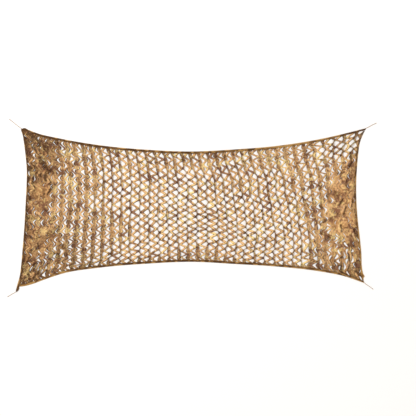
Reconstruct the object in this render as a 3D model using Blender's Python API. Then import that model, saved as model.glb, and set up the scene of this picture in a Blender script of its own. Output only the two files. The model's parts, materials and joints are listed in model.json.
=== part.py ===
"""Camouflage netting, spread out flat. A slit-cut cloth panel is pulled open sideways, a folded strip
binds each of its four edges, and a tie cord leaves each corner. Metres, +Z up, +X along the long side, the
origin on the surface it lies on, under the middle. The panel's gaps stand at twice the real slits' pitch."""

import math

import bmesh
import bpy
import numpy as np
from mathutils import Vector
from mathutils.geometry import delaunay_2d_cdt

# Thicknesses and clearances.
SHEET = 0.0020  # the panel
TAPE = 0.0010  # one layer of a binding
SEAT = 0.0003  # gap between two pieces that touch
BINDING_HEIGHT = 2 * TAPE + SHEET + 2 * SEAT
HEM_FLOOR = TAPE + SEAT  # the panel's underside where a binding holds it
FOLD = 0.0025  # from a binding's outer edge to the bottom of its slot
PANEL_INSET = 0.0045  # from a binding's outer edge to the panel's edge
CHAMFER = 0.0010  # rounding of a binding's folded edge
CUT_EDGE = 0.0002  # rounding of its inner edges
PLUMP_CHAMFER = 0.0020  # how much more both round where the cloth is gathered
PLUMP_CUT_EDGE = 0.0040

FLAT_MARGIN = 0.0235  # how far in from the outline the panel stays flat
PATTERN_MARGIN = 0.027  # how far in from the outline the slit pattern starts
EDGE_STATIONS = 46  # points along a long edge of the panel
END_STATIONS = 24

# The outline of the whole netting, outer edge of the bindings.
TOP_EDGE = (  # x, y
    (-1.540, 0.735),
    (-1.513, 0.743),
    (-1.480, 0.728),
    (-1.400, 0.697),
    (-1.200, 0.650),
    (-0.800, 0.583),
    (-0.400, 0.546),
    (0.000, 0.530),
    (0.400, 0.549),
    (0.800, 0.583),
    (1.200, 0.648),
    (1.450, 0.706),
    (1.592, 0.742),
)
BOTTOM_EDGE = (  # x, y
    (-1.575, -0.700),
    (-1.520, -0.694),
    (-1.435, -0.672),
    (-1.350, -0.640),
    (-1.160, -0.577),
    (-0.845, -0.527),
    (-0.400, -0.489),
    (0.000, -0.472),
    (0.400, -0.492),
    (0.800, -0.517),
    (1.150, -0.556),
    (1.400, -0.605),
    (1.574, -0.665),
)
LEFT_EDGE = (  # y, x
    (-0.743, -1.592),
    (-0.690, -1.581),
    (-0.645, -1.568),
    (-0.600, -1.556),
    (-0.500, -1.543),
    (-0.340, -1.529),
    (-0.150, -1.514),
    (0.050, -1.503),
    (0.230, -1.494),
    (0.360, -1.492),
    (0.490, -1.503),
    (0.615, -1.519),
    (0.680, -1.530),
    (0.728, -1.546),
)
RIGHT_EDGE = (  # y, x
    (-0.665, 1.574),
    (-0.600, 1.560),
    (-0.500, 1.551),
    (-0.400, 1.548),
    (-0.255, 1.534),
    (-0.130, 1.519),
    (0.060, 1.504),
    (0.245, 1.501),
    (0.370, 1.507),
    (0.525, 1.521),
    (0.610, 1.534),
    (0.680, 1.560),
    (0.742, 1.592),
)

# Each binding's section along its length, from 0 at its left or lower end to 1. Proud is how far it stands
# out past the outline, and plump 1 is gathered cloth, 0 a flat fold.
TOP_SECTIONS = (  # along, width, proud, plump
    (0.00, 0.022, 0.0, 0.0),
    (0.02, 0.020, 0.0, 0.0),
    (1.00, 0.020, 0.0, 0.0),
)
BOTTOM_SECTIONS = (  # along, width, proud, plump
    (0.00, 0.022, 0.0, 0.0),
    (0.04, 0.020, 0.0, 0.0),
    (1.00, 0.020, 0.0, 0.0),
)
LEFT_SECTIONS = (  # along, width, proud, plump: the lower end is gathered into a tube
    (0.000, 0.014, 0.0, 1.0),
    (0.008, 0.024, 0.0, 1.0),
    (0.020, 0.026, 0.0, 1.0),
    (0.027, 0.023, 0.0, 0.0),
    (0.050, 0.021, 0.0, 0.0),
    (0.110, 0.013, 0.0, 0.0),
    (0.960, 0.013, 0.0, 0.0),
    (1.000, 0.018, 0.0, 0.0),
)
RIGHT_SECTIONS = (  # along, width, proud, plump: a flap stands out near the lower end
    (0.000, 0.012, 0.000, 0.0),
    (0.018, 0.014, 0.004, 0.0),
    (0.032, 0.020, 0.019, 0.0),
    (0.044, 0.018, 0.007, 0.0),
    (0.066, 0.014, 0.003, 0.0),
    (0.100, 0.012, 0.000, 0.0),
    (1.000, 0.012, 0.000, 0.0),
)
# How many stations each has, and how far its ends stop inside the neighbouring edges.
BINDINGS = (  # node, edge it covers, sections, stations, ends
    ("top_binding", "top", TOP_SECTIONS, 40, {"left": 0.0185 + SEAT}),
    ("bottom_binding", "bottom", BOTTOM_SECTIONS, 40, {"left": 0.0235 + SEAT}),
    ("left_binding", "left", LEFT_SECTIONS, 26, {"bottom": -0.041, "top": 0.0015}),
    ("right_binding", "right", RIGHT_SECTIONS, 26, {"bottom": 0.020 + SEAT, "top": 0.020 + SEAT}),
)
TUBE_HEIGHT = 0.011  # the gathered tube's
TUBE_SLIT = 0.0004  # what is left of the slot inside it
TUBE_WALL = 0.0006  # between that slot's bottom and the tube's inner edge
STATION_APART = 0.004  # least distance between two sections of a binding, as a share of its length

# The slit pattern. Column lines run up the panel: every second one is a zigzag strand, the rest are straight.
COLUMNS = 38
HALF_ROWS = 16
COLUMN_SPACING = (  # across the panel from 0 to 1, distance between neighbouring slit columns
    (0.00, 0.0360),
    (0.13, 0.0370),
    (0.25, 0.0400),
    (0.45, 0.0451),
    (0.56, 0.0446),
    (0.70, 0.0400),
    (0.80, 0.0410),
    (0.87, 0.0430),
    (1.00, 0.0370),
)
LEAN = (  # across, degrees that the columns lean, feet to the right
    (0.00, 0.0),
    (0.14, 0.0),
    (0.28, 6.0),
    (0.38, 1.0),
    (0.50, 3.0),
    (0.62, 10.0),
    (0.80, 12.0),
    (1.00, 0.0),
)
CROWDING = (  # across, how far the rows crowd to the bottom (below 0) or to the top
    (0.00, 0.00),
    (0.20, -0.18),
    (0.35, 0.06),
    (0.42, 0.08),
    (0.50, -0.19),
    (0.60, -0.33),
    (0.70, -0.15),
    (0.82, 0.09),
    (1.00, 0.00),
)
OPENNESS = (  # across, how far the slits are pulled open
    (0.00, 0.00),
    (0.07, 0.25),
    (0.14, 0.45),
    (0.25, 0.60),
    (0.34, 0.90),
    (0.65, 0.95),
    (0.80, 0.80),
    (0.88, 0.50),
    (1.00, 0.10),
)
CLOSED_LEFT = 3  # columns at the left end whose slits stay shut
CLOSED_RIGHT = 4
CORNER_GAPS = (  # column, middle half row, openness: the few gaps inside the closed ends
    (0, 3, 0.25),
    (1, 2, 0.20),
    (2, 13, 0.30),
    (35, 14, 0.80),
    (36, 13, 0.80),
    (36, 15, 0.70),
    (37, 14, 0.60),
    (36, 3, 0.25),
)
ZIGZAG = 0.50  # a zigzag strand's swing, in columns, where the slits are fully open
STRAND = 0.18  # half its width, in columns
BRIDGE = 0.18  # half the cloth left between two slits of a column, in half rows
SWAY = 0.04  # the straight strands' swing, in columns
END_SWING = 0.4  # share of the swing left where the closed ends begin
SHUT_TONGUE = 0.30  # how far across its gap a shut slit's tongue stands back from the apex
LIP_LIFT = 0.009  # tongues of the slits, which curl up off the surface
LINE_LIFT = 0.006  # straight strands, buckled up between the slits
TIP_LIFT = 0.003  # ends of the slits
UNEVEN = 0.35  # share by which the lifts vary
WANDER = 0.05  # share of a cell by which the gaps' corners vary
SEED = 7  # of all that varies
MEDIAN_WIDTH = 3.0  # of the panel, from which a place in it is first guessed
MEDIAN_HEIGHT = 1.15
PLACE_STEPS = 24  # until that guess has settled
SHARE_STEPS = 400  # of the sum that places the columns

# Wrinkles of the closed ends: ridges from one point to another.
WRINKLES = (  # x1, y1, x2, y2, height, half width
    (-1.500, 0.680, -1.330, 0.420, 0.012, 0.030),
    (-1.470, 0.660, -1.220, 0.500, 0.010, 0.026),
    (-1.470, 0.420, -1.300, 0.180, 0.008, 0.028),
    (-1.460, 0.050, -1.290, 0.230, 0.009, 0.030),
    (-1.480, -0.160, -1.330, 0.040, 0.008, 0.026),
    (-1.490, -0.420, -1.330, -0.180, 0.010, 0.030),
    (-1.510, -0.620, -1.300, -0.380, 0.013, 0.030),
    (-1.460, -0.640, -1.200, -0.520, 0.010, 0.026),
    (1.520, 0.640, 1.270, 0.400, 0.010, 0.030),
    (1.480, 0.430, 1.230, 0.260, 0.008, 0.028),
    (1.470, 0.200, 1.250, 0.060, 0.009, 0.030),
    (1.470, -0.060, 1.280, -0.220, 0.008, 0.028),
    (1.500, -0.330, 1.300, -0.160, 0.009, 0.030),
    (1.520, -0.560, 1.280, -0.330, 0.013, 0.032),
    (1.500, -0.620, 1.220, -0.500, 0.010, 0.026),
)
WRINKLE_STEPS = 3  # sheet points across each closed column
GAP_CLEARANCE = (0.6, 1.15)  # columns and half rows round a corner gap that no wrinkle point takes
PUCKER = 0.002  # small unevenness between the wrinkles

# Tie cords: each route's own points, from the corner outwards.
TIE_DIAMETER = 0.0040
TIE_HEIGHT = 0.0022  # of the cord's middle over the surface
TIE_SPACING = 2.4  # distance between the tube's points, in diameters
TIE_ROUTES = {  # node: x, y of each point
    "tie_top_left": (
        (-1.5376, 0.7360),
        (-1.5660, 0.7560),
        (-1.5960, 0.7800),
        (-1.6250, 0.8030),
        (-1.6530, 0.8260),
    ),
    "tie_top_right": (
        (1.5925, 0.7418),
        (1.6160, 0.7530),
        (1.6380, 0.7655),
        (1.6615, 0.7770),
        (1.6850, 0.7880),
    ),
    "tie_bottom_left": (
        (-1.5877, -0.7446),
        (-1.6080, -0.7560),
        (-1.6290, -0.7675),
        (-1.6490, -0.7800),
        (-1.6690, -0.7920),
    ),
    "tie_bottom_right": (
        (1.5748, -0.6644),
        (1.5965, -0.6800),
        (1.6170, -0.6935),
        (1.6370, -0.7080),
        (1.6560, -0.7230),
    ),
}

COLOURS = {  # material: base colour, roughness
    "camouflage_cloth": ((0.45, 0.29, 0.13, 1.0), 0.8),
    "binding_cloth": ((0.25, 0.15, 0.07, 1.0), 0.8),
    "tie_cord": ((0.60, 0.52, 0.40, 1.0), 0.9),
}


def smooth(table, at):
    """The value at each position of a table of (position, value) rows, on a cubic through them."""
    x, y = np.array(table, float).T
    slope = np.gradient(y, x)
    at = np.asarray(at, float)
    i = np.clip(np.searchsorted(x, at) - 1, 0, len(x) - 2)
    span = x[i + 1] - x[i]
    t = np.clip((at - x[i]) / span, 0, 1)
    value = (
        (1 + 2 * t) * (1 - t) ** 2 * y[i]
        + t * (1 - t) ** 2 * span * slope[i]
        + t * t * (3 - 2 * t) * y[i + 1]
        + t * t * (t - 1) * span * slope[i + 1]
    )
    past = np.minimum(at - x[0], 0) * slope[0] + np.maximum(at - x[-1], 0) * slope[-1]
    return value + past


def place(across, up, left=0.0, right=0.0, bottom=0.0, top=0.0):
    """The point at these shares of the way between the edges, each edge moved in by its inset."""
    across, up = np.broadcast_arrays(np.asarray(across, float), np.asarray(up, float))
    x, y = MEDIAN_WIDTH * (across - 0.5), MEDIAN_HEIGHT * (up - 0.5)
    for _ in range(PLACE_STEPS):
        x_left, x_right = smooth(LEFT_EDGE, y) + left, smooth(RIGHT_EDGE, y) - right
        x = x_left + across * (x_right - x_left)
        y_bottom, y_top = smooth(BOTTOM_EDGE, x) + bottom, smooth(TOP_EDGE, x) - top
        y = y_bottom + up * (y_top - y_bottom)
    return np.stack([x, y], axis=-1)


def column_share():
    """The share of the way across at each of many steps, and how many columns lie before it."""
    share = np.linspace(0, 1, SHARE_STEPS + 1)
    density = 1 / smooth(COLUMN_SPACING, share)
    count = np.concatenate([[0], np.cumsum((density[1:] + density[:-1]) / 2)])
    return share, count / count[-1] * COLUMNS


SHARE, COUNT = column_share()


def lattice(column, half_row):
    """The point of the panel at a place of the slit pattern, leaning and crowding as the cloth does."""
    across = np.interp(column, COUNT, SHARE)
    up = np.asarray(half_row, float) / HALF_ROWS
    up = up + smooth(CROWDING, across) * up * (1 - up)
    lean = np.tan(np.radians(smooth(LEAN, across))) * MEDIAN_HEIGHT / MEDIAN_WIDTH
    across = np.clip(across + lean * (0.5 - up), 0, 1)
    inset = PATTERN_MARGIN
    return place(across, up, left=inset, right=inset, bottom=inset, top=inset)


def closed_column(column):
    return column < CLOSED_LEFT or column >= COLUMNS - CLOSED_RIGHT


def line_swing(line, half_row):
    """How far a column line stands from its even place at this half row, in columns."""
    if line <= 0 or line >= COLUMNS:
        return 0.0
    side = 1 if half_row % 2 == 0 else -1
    if line % 2:
        return -side * SWAY
    openness = float(smooth(OPENNESS, line / COLUMNS))
    at_the_end = closed_column(line) or closed_column(line - 1)
    return side * ZIGZAG * openness * (END_SWING if at_the_end else 1.0)


def gap_corners(column, middle, openness):
    """A slit's gap, as rows of column, half row and lift: its apex, a tip, the tongue and the other tip."""
    reach = 1 - BRIDGE
    if column % 2 == 0:  # apex to the left, tongue on the straight strand to the right
        apex = column + line_swing(column, middle) + STRAND
        tips = column + 1 - STRAND + SWAY
        turn = 1
    else:
        apex = column + 1 + line_swing(column + 1, middle) - STRAND
        tips = column + STRAND - SWAY
        turn = -1
    tongue = apex + (tips - apex) * (SHUT_TONGUE + (1 - SHUT_TONGUE) * openness)
    return [
        (apex, middle, 0.0),
        (tips, middle - turn * reach, TIP_LIFT),
        (tongue, middle, LIP_LIFT),
        (tips, middle + turn * reach, TIP_LIFT),
    ]


def gaps():
    """Every gap's corners, column by column, the gaps of the closed ends last."""
    found = []
    for column in range(CLOSED_LEFT, COLUMNS - CLOSED_RIGHT):
        openness = float(smooth(OPENNESS, (column + 0.5) / COLUMNS))
        for middle in range(1 + column % 2, HALF_ROWS, 2):
            found.append(gap_corners(column, middle, openness))
    found += [gap_corners(*row) for row in CORNER_GAPS]
    return np.array(found)


def wrinkle_height(points):
    """Height of the ridges at each point."""
    height = np.zeros(len(points))
    for x1, y1, x2, y2, rise, half_width in WRINKLES:
        along = np.array([x2 - x1, y2 - y1])
        from_start = points - (x1, y1)
        share = np.clip(from_start @ along / (along @ along), 0, 1)
        distance = np.linalg.norm(from_start - share[:, None] * along, axis=1)
        height = np.maximum(height, rise * np.exp(-((distance / half_width) ** 2)))
    return height


def near_a_gap(column, half_row):
    """Whether one of the gaps of the closed ends takes this place."""
    beside, above = GAP_CLEARANCE
    return any(
        c - beside < column < c + 1 + beside and abs(half_row - middle) < above
        for c, middle, _ in CORNER_GAPS
    )


class Sheet:
    """Points, closed loops of edges and gaps of a flat sheet, for one triangulation."""

    def __init__(self):
        self.points, self.lifts, self.edges, self.loops = [], [], [], []

    def add(self, places, lifts):
        """Adds points with their heights, and returns their numbers."""
        first = len(self.points)
        self.points += [Vector(place) for place in places.tolist()]
        self.lifts += np.broadcast_to(lifts, len(places)).tolist()
        return list(range(first, len(self.points)))

    def add_ring(self, places, lifts):
        """Adds points joined in a ring, and returns their numbers."""
        ids = self.add(places, lifts)
        self.edges += list(zip(ids, ids[1:] + ids[:1]))
        return ids

    def triangles(self):
        """The points in 3-D and the triangles that lie inside the first loop and in none of the others."""
        points, _, faces, origins, _, within = delaunay_2d_cdt(self.points, self.edges, self.loops, 1, 1e-7)
        solid = [face for face, loops in zip(faces, within) if loops == [0]]
        return [(p.x, p.y, self.lifts[origin[0]]) for p, origin in zip(points, origins)], solid


def stations(count):
    """Shares along a strip, closer together at its ends."""
    return (1 - np.cos(np.pi * np.arange(count + 1) / count)) / 2


def ring_round(inset):
    """Points round the outline, moved in by an inset, anticlockwise from the lower left corner."""
    across, up = stations(EDGE_STATIONS)[:-1], stations(END_STATIONS)[:-1]
    sides = [(across, 0 * across), (0 * up + 1, up), (1 - across, 0 * across + 1), (0 * up, 1 - up)]
    insets = {"left": inset, "right": inset, "bottom": inset, "top": inset}
    return np.concatenate([place(a, u, **insets) for a, u in sides])


def thick(points, faces, thickness):
    """Mesh data of a sheet given depth upwards: its underside, its upper side and its rims."""
    count = len(points)
    over = [(x, y, z + thickness) for x, y, z in points]
    ups = [tuple(i + count for i in face) for face in faces]
    downs = [tuple(reversed(face)) for face in faces]
    directed = {(face[i], face[(i + 1) % 3]) for face in faces for i in range(3)}
    rims = [(a, b, b + count, a + count) for a, b in sorted(directed) if (b, a) not in directed]
    return points + over, downs + ups + rims


def material(name):
    colour, roughness = COLOURS[name]
    made = bpy.data.materials.new(name)
    made.use_nodes = True
    shader = made.node_tree.nodes["Principled BSDF"]
    shader.inputs["Base Color"].default_value = colour
    shader.inputs["Roughness"].default_value = roughness
    made.diffuse_color = colour
    return made


def add_object(name, data, finish, parent):
    made = bpy.data.objects.new(name, data)
    bpy.context.scene.collection.objects.link(made)
    data.materials.append(finish)
    made.parent = parent
    return made


def add_mesh(name, points, faces, finish, parent):
    mesh = bpy.data.meshes.new(name)
    mesh.from_pydata([tuple(map(float, p)) for p in points], [], [list(face) for face in faces])
    mesh.validate()
    return add_object(name, mesh, finish, parent)


def make_panel(finish, parent):
    """The slit cloth: flat under its bindings, on the surface at its zigzag strands, lifted elsewhere."""
    rng = np.random.default_rng(SEED)
    sheet = Sheet()
    sheet.loops.append(sheet.add_ring(ring_round(PANEL_INSET), HEM_FLOOR))
    sheet.add_ring(ring_round(FLAT_MARGIN), HEM_FLOOR)

    corners = gaps()
    corners[..., :2] += rng.uniform(-WANDER, WANDER, corners[..., :2].shape)
    corners[..., 2] *= rng.uniform(1 - UNEVEN, 1 + UNEVEN, corners.shape[:2])
    for ring, lifts in zip(lattice(corners[..., 0], corners[..., 1]), corners[..., 2]):
        sheet.loops.append(sheet.add_ring(ring, lifts))

    lines = np.array([
        (line + line_swing(line, half_row), half_row, LINE_LIFT * (line % 2))
        for line in range(CLOSED_LEFT, COLUMNS - CLOSED_RIGHT + 1)
        for half_row in range(1, HALF_ROWS)
    ])
    vary = rng.uniform(1 - UNEVEN, 1 + UNEVEN, len(lines))
    sheet.add(lattice(lines[:, 0], lines[:, 1]), lines[:, 2] * vary)

    ends = np.array([
        (first + i / WRINKLE_STEPS, half_row)
        for first, last in ((0, CLOSED_LEFT), (COLUMNS - CLOSED_RIGHT, COLUMNS))
        for i in range(1, (last - first) * WRINKLE_STEPS)
        for half_row in np.arange(0.5 + 0.5 * (i % 2), HALF_ROWS)
        if not near_a_gap(first + i / WRINKLE_STEPS, half_row)
    ])
    places = lattice(ends[:, 0], ends[:, 1])
    sheet.add(places, wrinkle_height(places) + rng.uniform(0, PUCKER, len(places)))
    return add_mesh("net_panel", *thick(*sheet.triangles(), SHEET), finish, parent)


def section(outer, inner, width, plump):
    """One ring of a folded strip: from its outer edge inwards and back over the slot."""
    height = BINDING_HEIGHT + plump * (TUBE_HEIGHT - BINDING_HEIGHT)
    lip = TAPE + plump * (height / 2 - TUBE_SLIT / 2 - TAPE)
    slot = FOLD + plump * (width - FOLD - TUBE_WALL)
    bevel = CHAMFER + plump * PLUMP_CHAMFER
    edge = CUT_EDGE + plump * PLUMP_CUT_EDGE
    profile = (  # distance from the outer edge, height
        (bevel, 0.0),
        (width - edge, 0.0),
        (width, min(edge, lip / 2)),
        (width, lip),
        (slot, lip),
        (slot, height - lip),
        (width, height - lip),
        (width, height - min(edge, lip / 2)),
        (width - edge, height),
        (bevel, height),
        (0.0, height - bevel),
        (0.0, bevel),
    )
    inward = (inner - outer) / np.linalg.norm(inner - outer)
    reach = np.linalg.norm(inner - outer) / width
    return [(*(outer + inward * reach * d), z) for d, z in profile]


def strip(name, rings, finish, parent):
    """A closed solid through equal rings, with a cap at each end."""
    size = len(rings[0])
    points = [point for ring in rings for point in ring]
    faces = []
    for i in range(len(rings) - 1):
        for j in range(size):
            a, b = i * size + j, i * size + (j + 1) % size
            faces.append((a, b, b + size, a + size))
    last = (len(rings) - 1) * size
    faces.append(tuple(reversed(range(size))))
    faces.append(tuple(range(last, last + size)))
    made = add_mesh(name, points, faces, finish, parent)
    shell = bmesh.new()
    shell.from_mesh(made.data)
    bmesh.ops.recalc_face_normals(shell, faces=shell.faces)
    shell.to_mesh(made.data)
    shell.free()
    return made


def make_binding(name, edge, sections, count, ends, finish, parent):
    """A folded strip along one edge of the outline, its ends cut along the neighbouring edges."""
    rows, widths, prouds, plumps = zip(*sections)
    between = [along for along in stations(count) if min(abs(along - row) for row in rows) > STATION_APART]
    far_side = float(edge in ("top", "right"))
    rings = []
    for along in sorted([*rows, *between]):
        width, proud, plump = (np.interp(along, rows, column) for column in (widths, prouds, plumps))
        at = (along, far_side) if edge in ("top", "bottom") else (far_side, along)
        outer = place(*at, **{**ends, edge: -proud})
        inner = place(*at, **{**ends, edge: width})
        rings.append(section(outer, inner, width + proud, plump))
    return strip(name, rings, finish, parent)


def make_tie(name, route, finish, parent):
    """A plain cord on a smooth curve through its route's points."""
    route = np.array(route)
    lengths = np.concatenate([[0], np.cumsum(np.linalg.norm(np.diff(route, axis=0), axis=1))])
    count = int(math.ceil(lengths[-1] / (TIE_SPACING * TIE_DIAMETER)))
    at = np.linspace(0, lengths[-1], count + 1)
    x = smooth(list(zip(lengths, route[:, 0])), at)
    y = smooth(list(zip(lengths, route[:, 1])), at)
    curve = bpy.data.curves.new(name, "CURVE")
    curve.dimensions = "3D"
    curve.bevel_depth = TIE_DIAMETER / 2
    curve.bevel_resolution = 2
    curve.use_fill_caps = True
    spline = curve.splines.new("POLY")
    spline.points.add(count)
    for point, px, py in zip(spline.points, x, y):
        point.co = (px, py, TIE_HEIGHT, 1)
    return add_object(name, curve, finish, parent)


def main():
    for old in list(bpy.data.objects):
        bpy.data.objects.remove(old, do_unlink=True)
    bpy.context.scene.unit_settings.scale_length = 1.0
    root = bpy.data.objects.new("camouflage_netting", None)
    bpy.context.scene.collection.objects.link(root)

    cloth, tape, cord = (material(name) for name in COLOURS)
    make_panel(cloth, root)
    for name, edge, sections, count, ends in BINDINGS:
        make_binding(name, edge, sections, count, ends, tape, root)
    for name, route in TIE_ROUTES.items():
        make_tie(name, route, cord, root)


main()
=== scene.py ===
# %% [markdown]
# # Camouflage netting, spread flat
# The real thing is one piece of printed cloth. It is cut with rows of short curved slits and pulled sideways,
# so that each slit opens into a gap and the cloth between turns into zigzag strands. A folded tape binds each
# of its four edges, and a short cord leaves each corner. The packed model holds a plain solid for each of
# these nine pieces. This lesson puts a finer mesh and a finish in the place of each, at the same size.

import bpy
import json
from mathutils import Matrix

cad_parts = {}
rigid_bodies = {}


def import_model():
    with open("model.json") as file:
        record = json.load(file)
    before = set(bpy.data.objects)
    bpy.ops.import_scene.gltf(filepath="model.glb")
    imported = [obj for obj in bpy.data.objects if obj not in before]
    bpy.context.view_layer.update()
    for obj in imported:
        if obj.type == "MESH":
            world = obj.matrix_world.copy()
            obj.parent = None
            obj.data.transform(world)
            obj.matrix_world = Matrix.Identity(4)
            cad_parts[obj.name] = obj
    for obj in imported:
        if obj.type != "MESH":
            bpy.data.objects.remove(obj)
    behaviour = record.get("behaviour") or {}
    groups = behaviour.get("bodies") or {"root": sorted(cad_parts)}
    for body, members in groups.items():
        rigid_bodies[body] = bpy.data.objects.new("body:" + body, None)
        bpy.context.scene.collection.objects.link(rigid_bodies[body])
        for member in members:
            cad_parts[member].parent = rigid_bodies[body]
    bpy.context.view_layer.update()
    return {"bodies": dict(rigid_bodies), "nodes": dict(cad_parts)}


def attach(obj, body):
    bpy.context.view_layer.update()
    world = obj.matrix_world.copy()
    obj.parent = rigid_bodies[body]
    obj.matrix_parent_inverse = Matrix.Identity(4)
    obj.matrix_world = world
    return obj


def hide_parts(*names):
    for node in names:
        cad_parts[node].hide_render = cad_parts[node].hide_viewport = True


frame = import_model()

import json
import math

import bpy
import numpy as np

BODY = next(iter(frame["bodies"]))
print("body", BODY, "with", len(frame["nodes"]), "nodes")

# %% [markdown]
# ## The camera
# The netting lies on the surface and is looked at from straight above. A wide lens close by would lean the
# lifted cloth outwards at the ends, so the camera stands far off with a long lens.

# %% Camera
VIEW_CENTRE = (0.1545, 0.0164)
VIEW_WIDTH = 3.781  # of the surface, across the picture
CAMERA_HEIGHT = 12.0
CLIP_END = 100.0


def make_camera():
    camera = bpy.data.objects.new("camera", bpy.data.cameras.new("camera"))
    camera.data.lens = camera.data.sensor_width * CAMERA_HEIGHT / VIEW_WIDTH
    camera.data.clip_end = CLIP_END
    camera.location = (*VIEW_CENTRE, CAMERA_HEIGHT)
    bpy.context.scene.collection.objects.link(camera)
    bpy.context.scene.camera = camera
    return camera


print("lens", round(make_camera().data.lens, 1), "mm")

# %% [markdown]
# ## Helpers for meshes
# A net, a tape and a cord all follow rules. They could be drawn with Blender's tools, but here their points
# and faces are worked out with numpy, so that one number changes them all. One helper turns arrays into an
# object. It keeps marks on the points for the finishes to read: "flat_place" is where a point lay on the
# flat cloth, "shade" how dark it looks, "opened" how far the slits are open, and the tapes' fourth mark how
# much painted shade lies on them; below 0 it is painted light.

# %% Mesh helpers


def write(mesh, mark, values):
    """Sets a mark on a mesh's points, a number or a vector on each."""
    kind = "value" if np.ndim(values) == 1 else "vector"
    mesh.attributes[mark].data.foreach_set(kind, np.asarray(values, np.float32).ravel())


def add_mesh(name, points, faces, flat_place=None, **marks):
    """A new object from arrays of points and faces, with marks kept on its points."""
    mesh = bpy.data.meshes.new(name)
    mesh.from_pydata(np.asarray(points, float), [], np.asarray(faces).tolist())
    mesh.polygons.foreach_set("use_smooth", [True] * len(mesh.polygons))
    if flat_place is not None:
        values = np.zeros((len(points), 3))
        values[:, : np.shape(flat_place)[-1]] = flat_place
        mesh.attributes.new("flat_place", "FLOAT_VECTOR", "POINT")
        write(mesh, "flat_place", values)
    for mark, values in marks.items():
        mesh.attributes.new(mark, "FLOAT", "POINT")
        write(mesh, mark, np.ravel(values))
    mesh.update()
    made = bpy.data.objects.new(name, mesh)
    bpy.context.scene.collection.objects.link(made)
    return made


def tube_faces(rings, sides, first=0):
    """Quads between equal rings of points that close round a tube."""
    ring, side = np.meshgrid(np.arange(rings - 1), np.arange(sides), indexing="ij")
    a = first + ring * sides + side
    b = first + ring * sides + (side + 1) % sides
    return np.stack([a, b, b + sides, a + sides], -1).reshape(-1, 4)


print("a tube of 3 rings and 4 sides has", len(tube_faces(3, 4)), "faces")

# %% Helpers for tables and lines


def smooth(table, at):
    """The value at each position of a table of (position, value) rows, on a cubic through them."""
    x, y = np.array(table, float).T
    slope = np.gradient(y, x)
    at = np.asarray(at, float)
    i = np.clip(np.searchsorted(x, at) - 1, 0, len(x) - 2)
    span = x[i + 1] - x[i]
    t = np.clip((at - x[i]) / span, 0, 1)
    value = (
        (1 + 2 * t) * (1 - t) ** 2 * y[i]
        + t * (1 - t) ** 2 * span * slope[i]
        + t * t * (3 - 2 * t) * y[i + 1]
        + t * t * (t - 1) * span * slope[i + 1]
    )
    past = np.minimum(at - x[0], 0) * slope[0] + np.maximum(at - x[-1], 0) * slope[-1]
    return value + past


def run_lengths(points):
    """How far along a line each of its points lies."""
    steps = np.linalg.norm(np.diff(points, axis=0), axis=1)
    return np.concatenate([[0], np.cumsum(steps)])


def unit(vectors):
    """The same directions, each 1 long."""
    return vectors / np.linalg.norm(vectors, axis=-1, keepdims=True)


print("a line over 3 and up 4 is", run_lengths([(0, 0), (3, 4)])[-1], "long")

# %% [markdown]
# ## The tie cords
# A short length of pale twisted cord leaves each corner, cut off bare. A bevelled curve would be a smooth
# rod, so each cord is three round yarns wound about one line. The yarns lie a little apart at the free end,
# where the twist opens. The line goes through the same points as the plain solid's.

# %% Sizes and routes of the ties
TIE_HEIGHT = 0.0022  # of a cord's line above the surface
TIE_ROUTES = {  # x, y from the corner outwards
    "tie_top_left": (
        (-1.5376, 0.7360), (-1.5660, 0.7560), (-1.5960, 0.7800), (-1.6250, 0.8030), (-1.6530, 0.8260),
    ),
    "tie_top_right": (
        (1.5925, 0.7418), (1.6160, 0.7530), (1.6380, 0.7655), (1.6615, 0.7770), (1.6850, 0.7880),
    ),
    "tie_bottom_left": (
        (-1.5877, -0.7446), (-1.6080, -0.7560), (-1.6290, -0.7675), (-1.6490, -0.7800), (-1.6690, -0.7920),
    ),
    "tie_bottom_right": (
        (1.5748, -0.6644), (1.5965, -0.6800), (1.6170, -0.6935), (1.6370, -0.7080), (1.6560, -0.7230),
    ),
}
YARNS = 3
YARN_SIDES = 8
YARN_RADIUS = 0.00104
YARN_OFFSET = 0.00092  # from the cord's line to a yarn's
YARN_LAY = 0.0105  # length of one turn
YARN_STEP = 0.0008
YARN_CLEARANCE = 0.0002  # from the surface
FRAY_LENGTH = 0.010
FRAY_OPENING = 0.5  # how much further out the yarns stand at the free end
FRAY_THINNER = 0.35  # by how much they thin there
UP = np.array([0.0, 0.0, 1.0])
print(len(TIE_ROUTES), "ties of", YARNS, "yarns")

# %% Tie cords


def route_line(route, step):
    """Points along a smooth curve through a route, and how far along each lies."""
    lengths = run_lengths(route)
    at = np.linspace(0, lengths[-1], int(lengths[-1] / step) + 1)
    x, y = (smooth(list(zip(lengths, places)), at) for places in zip(*route))
    return np.stack([x, y, np.full(len(at), TIE_HEIGHT)], -1), at


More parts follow.
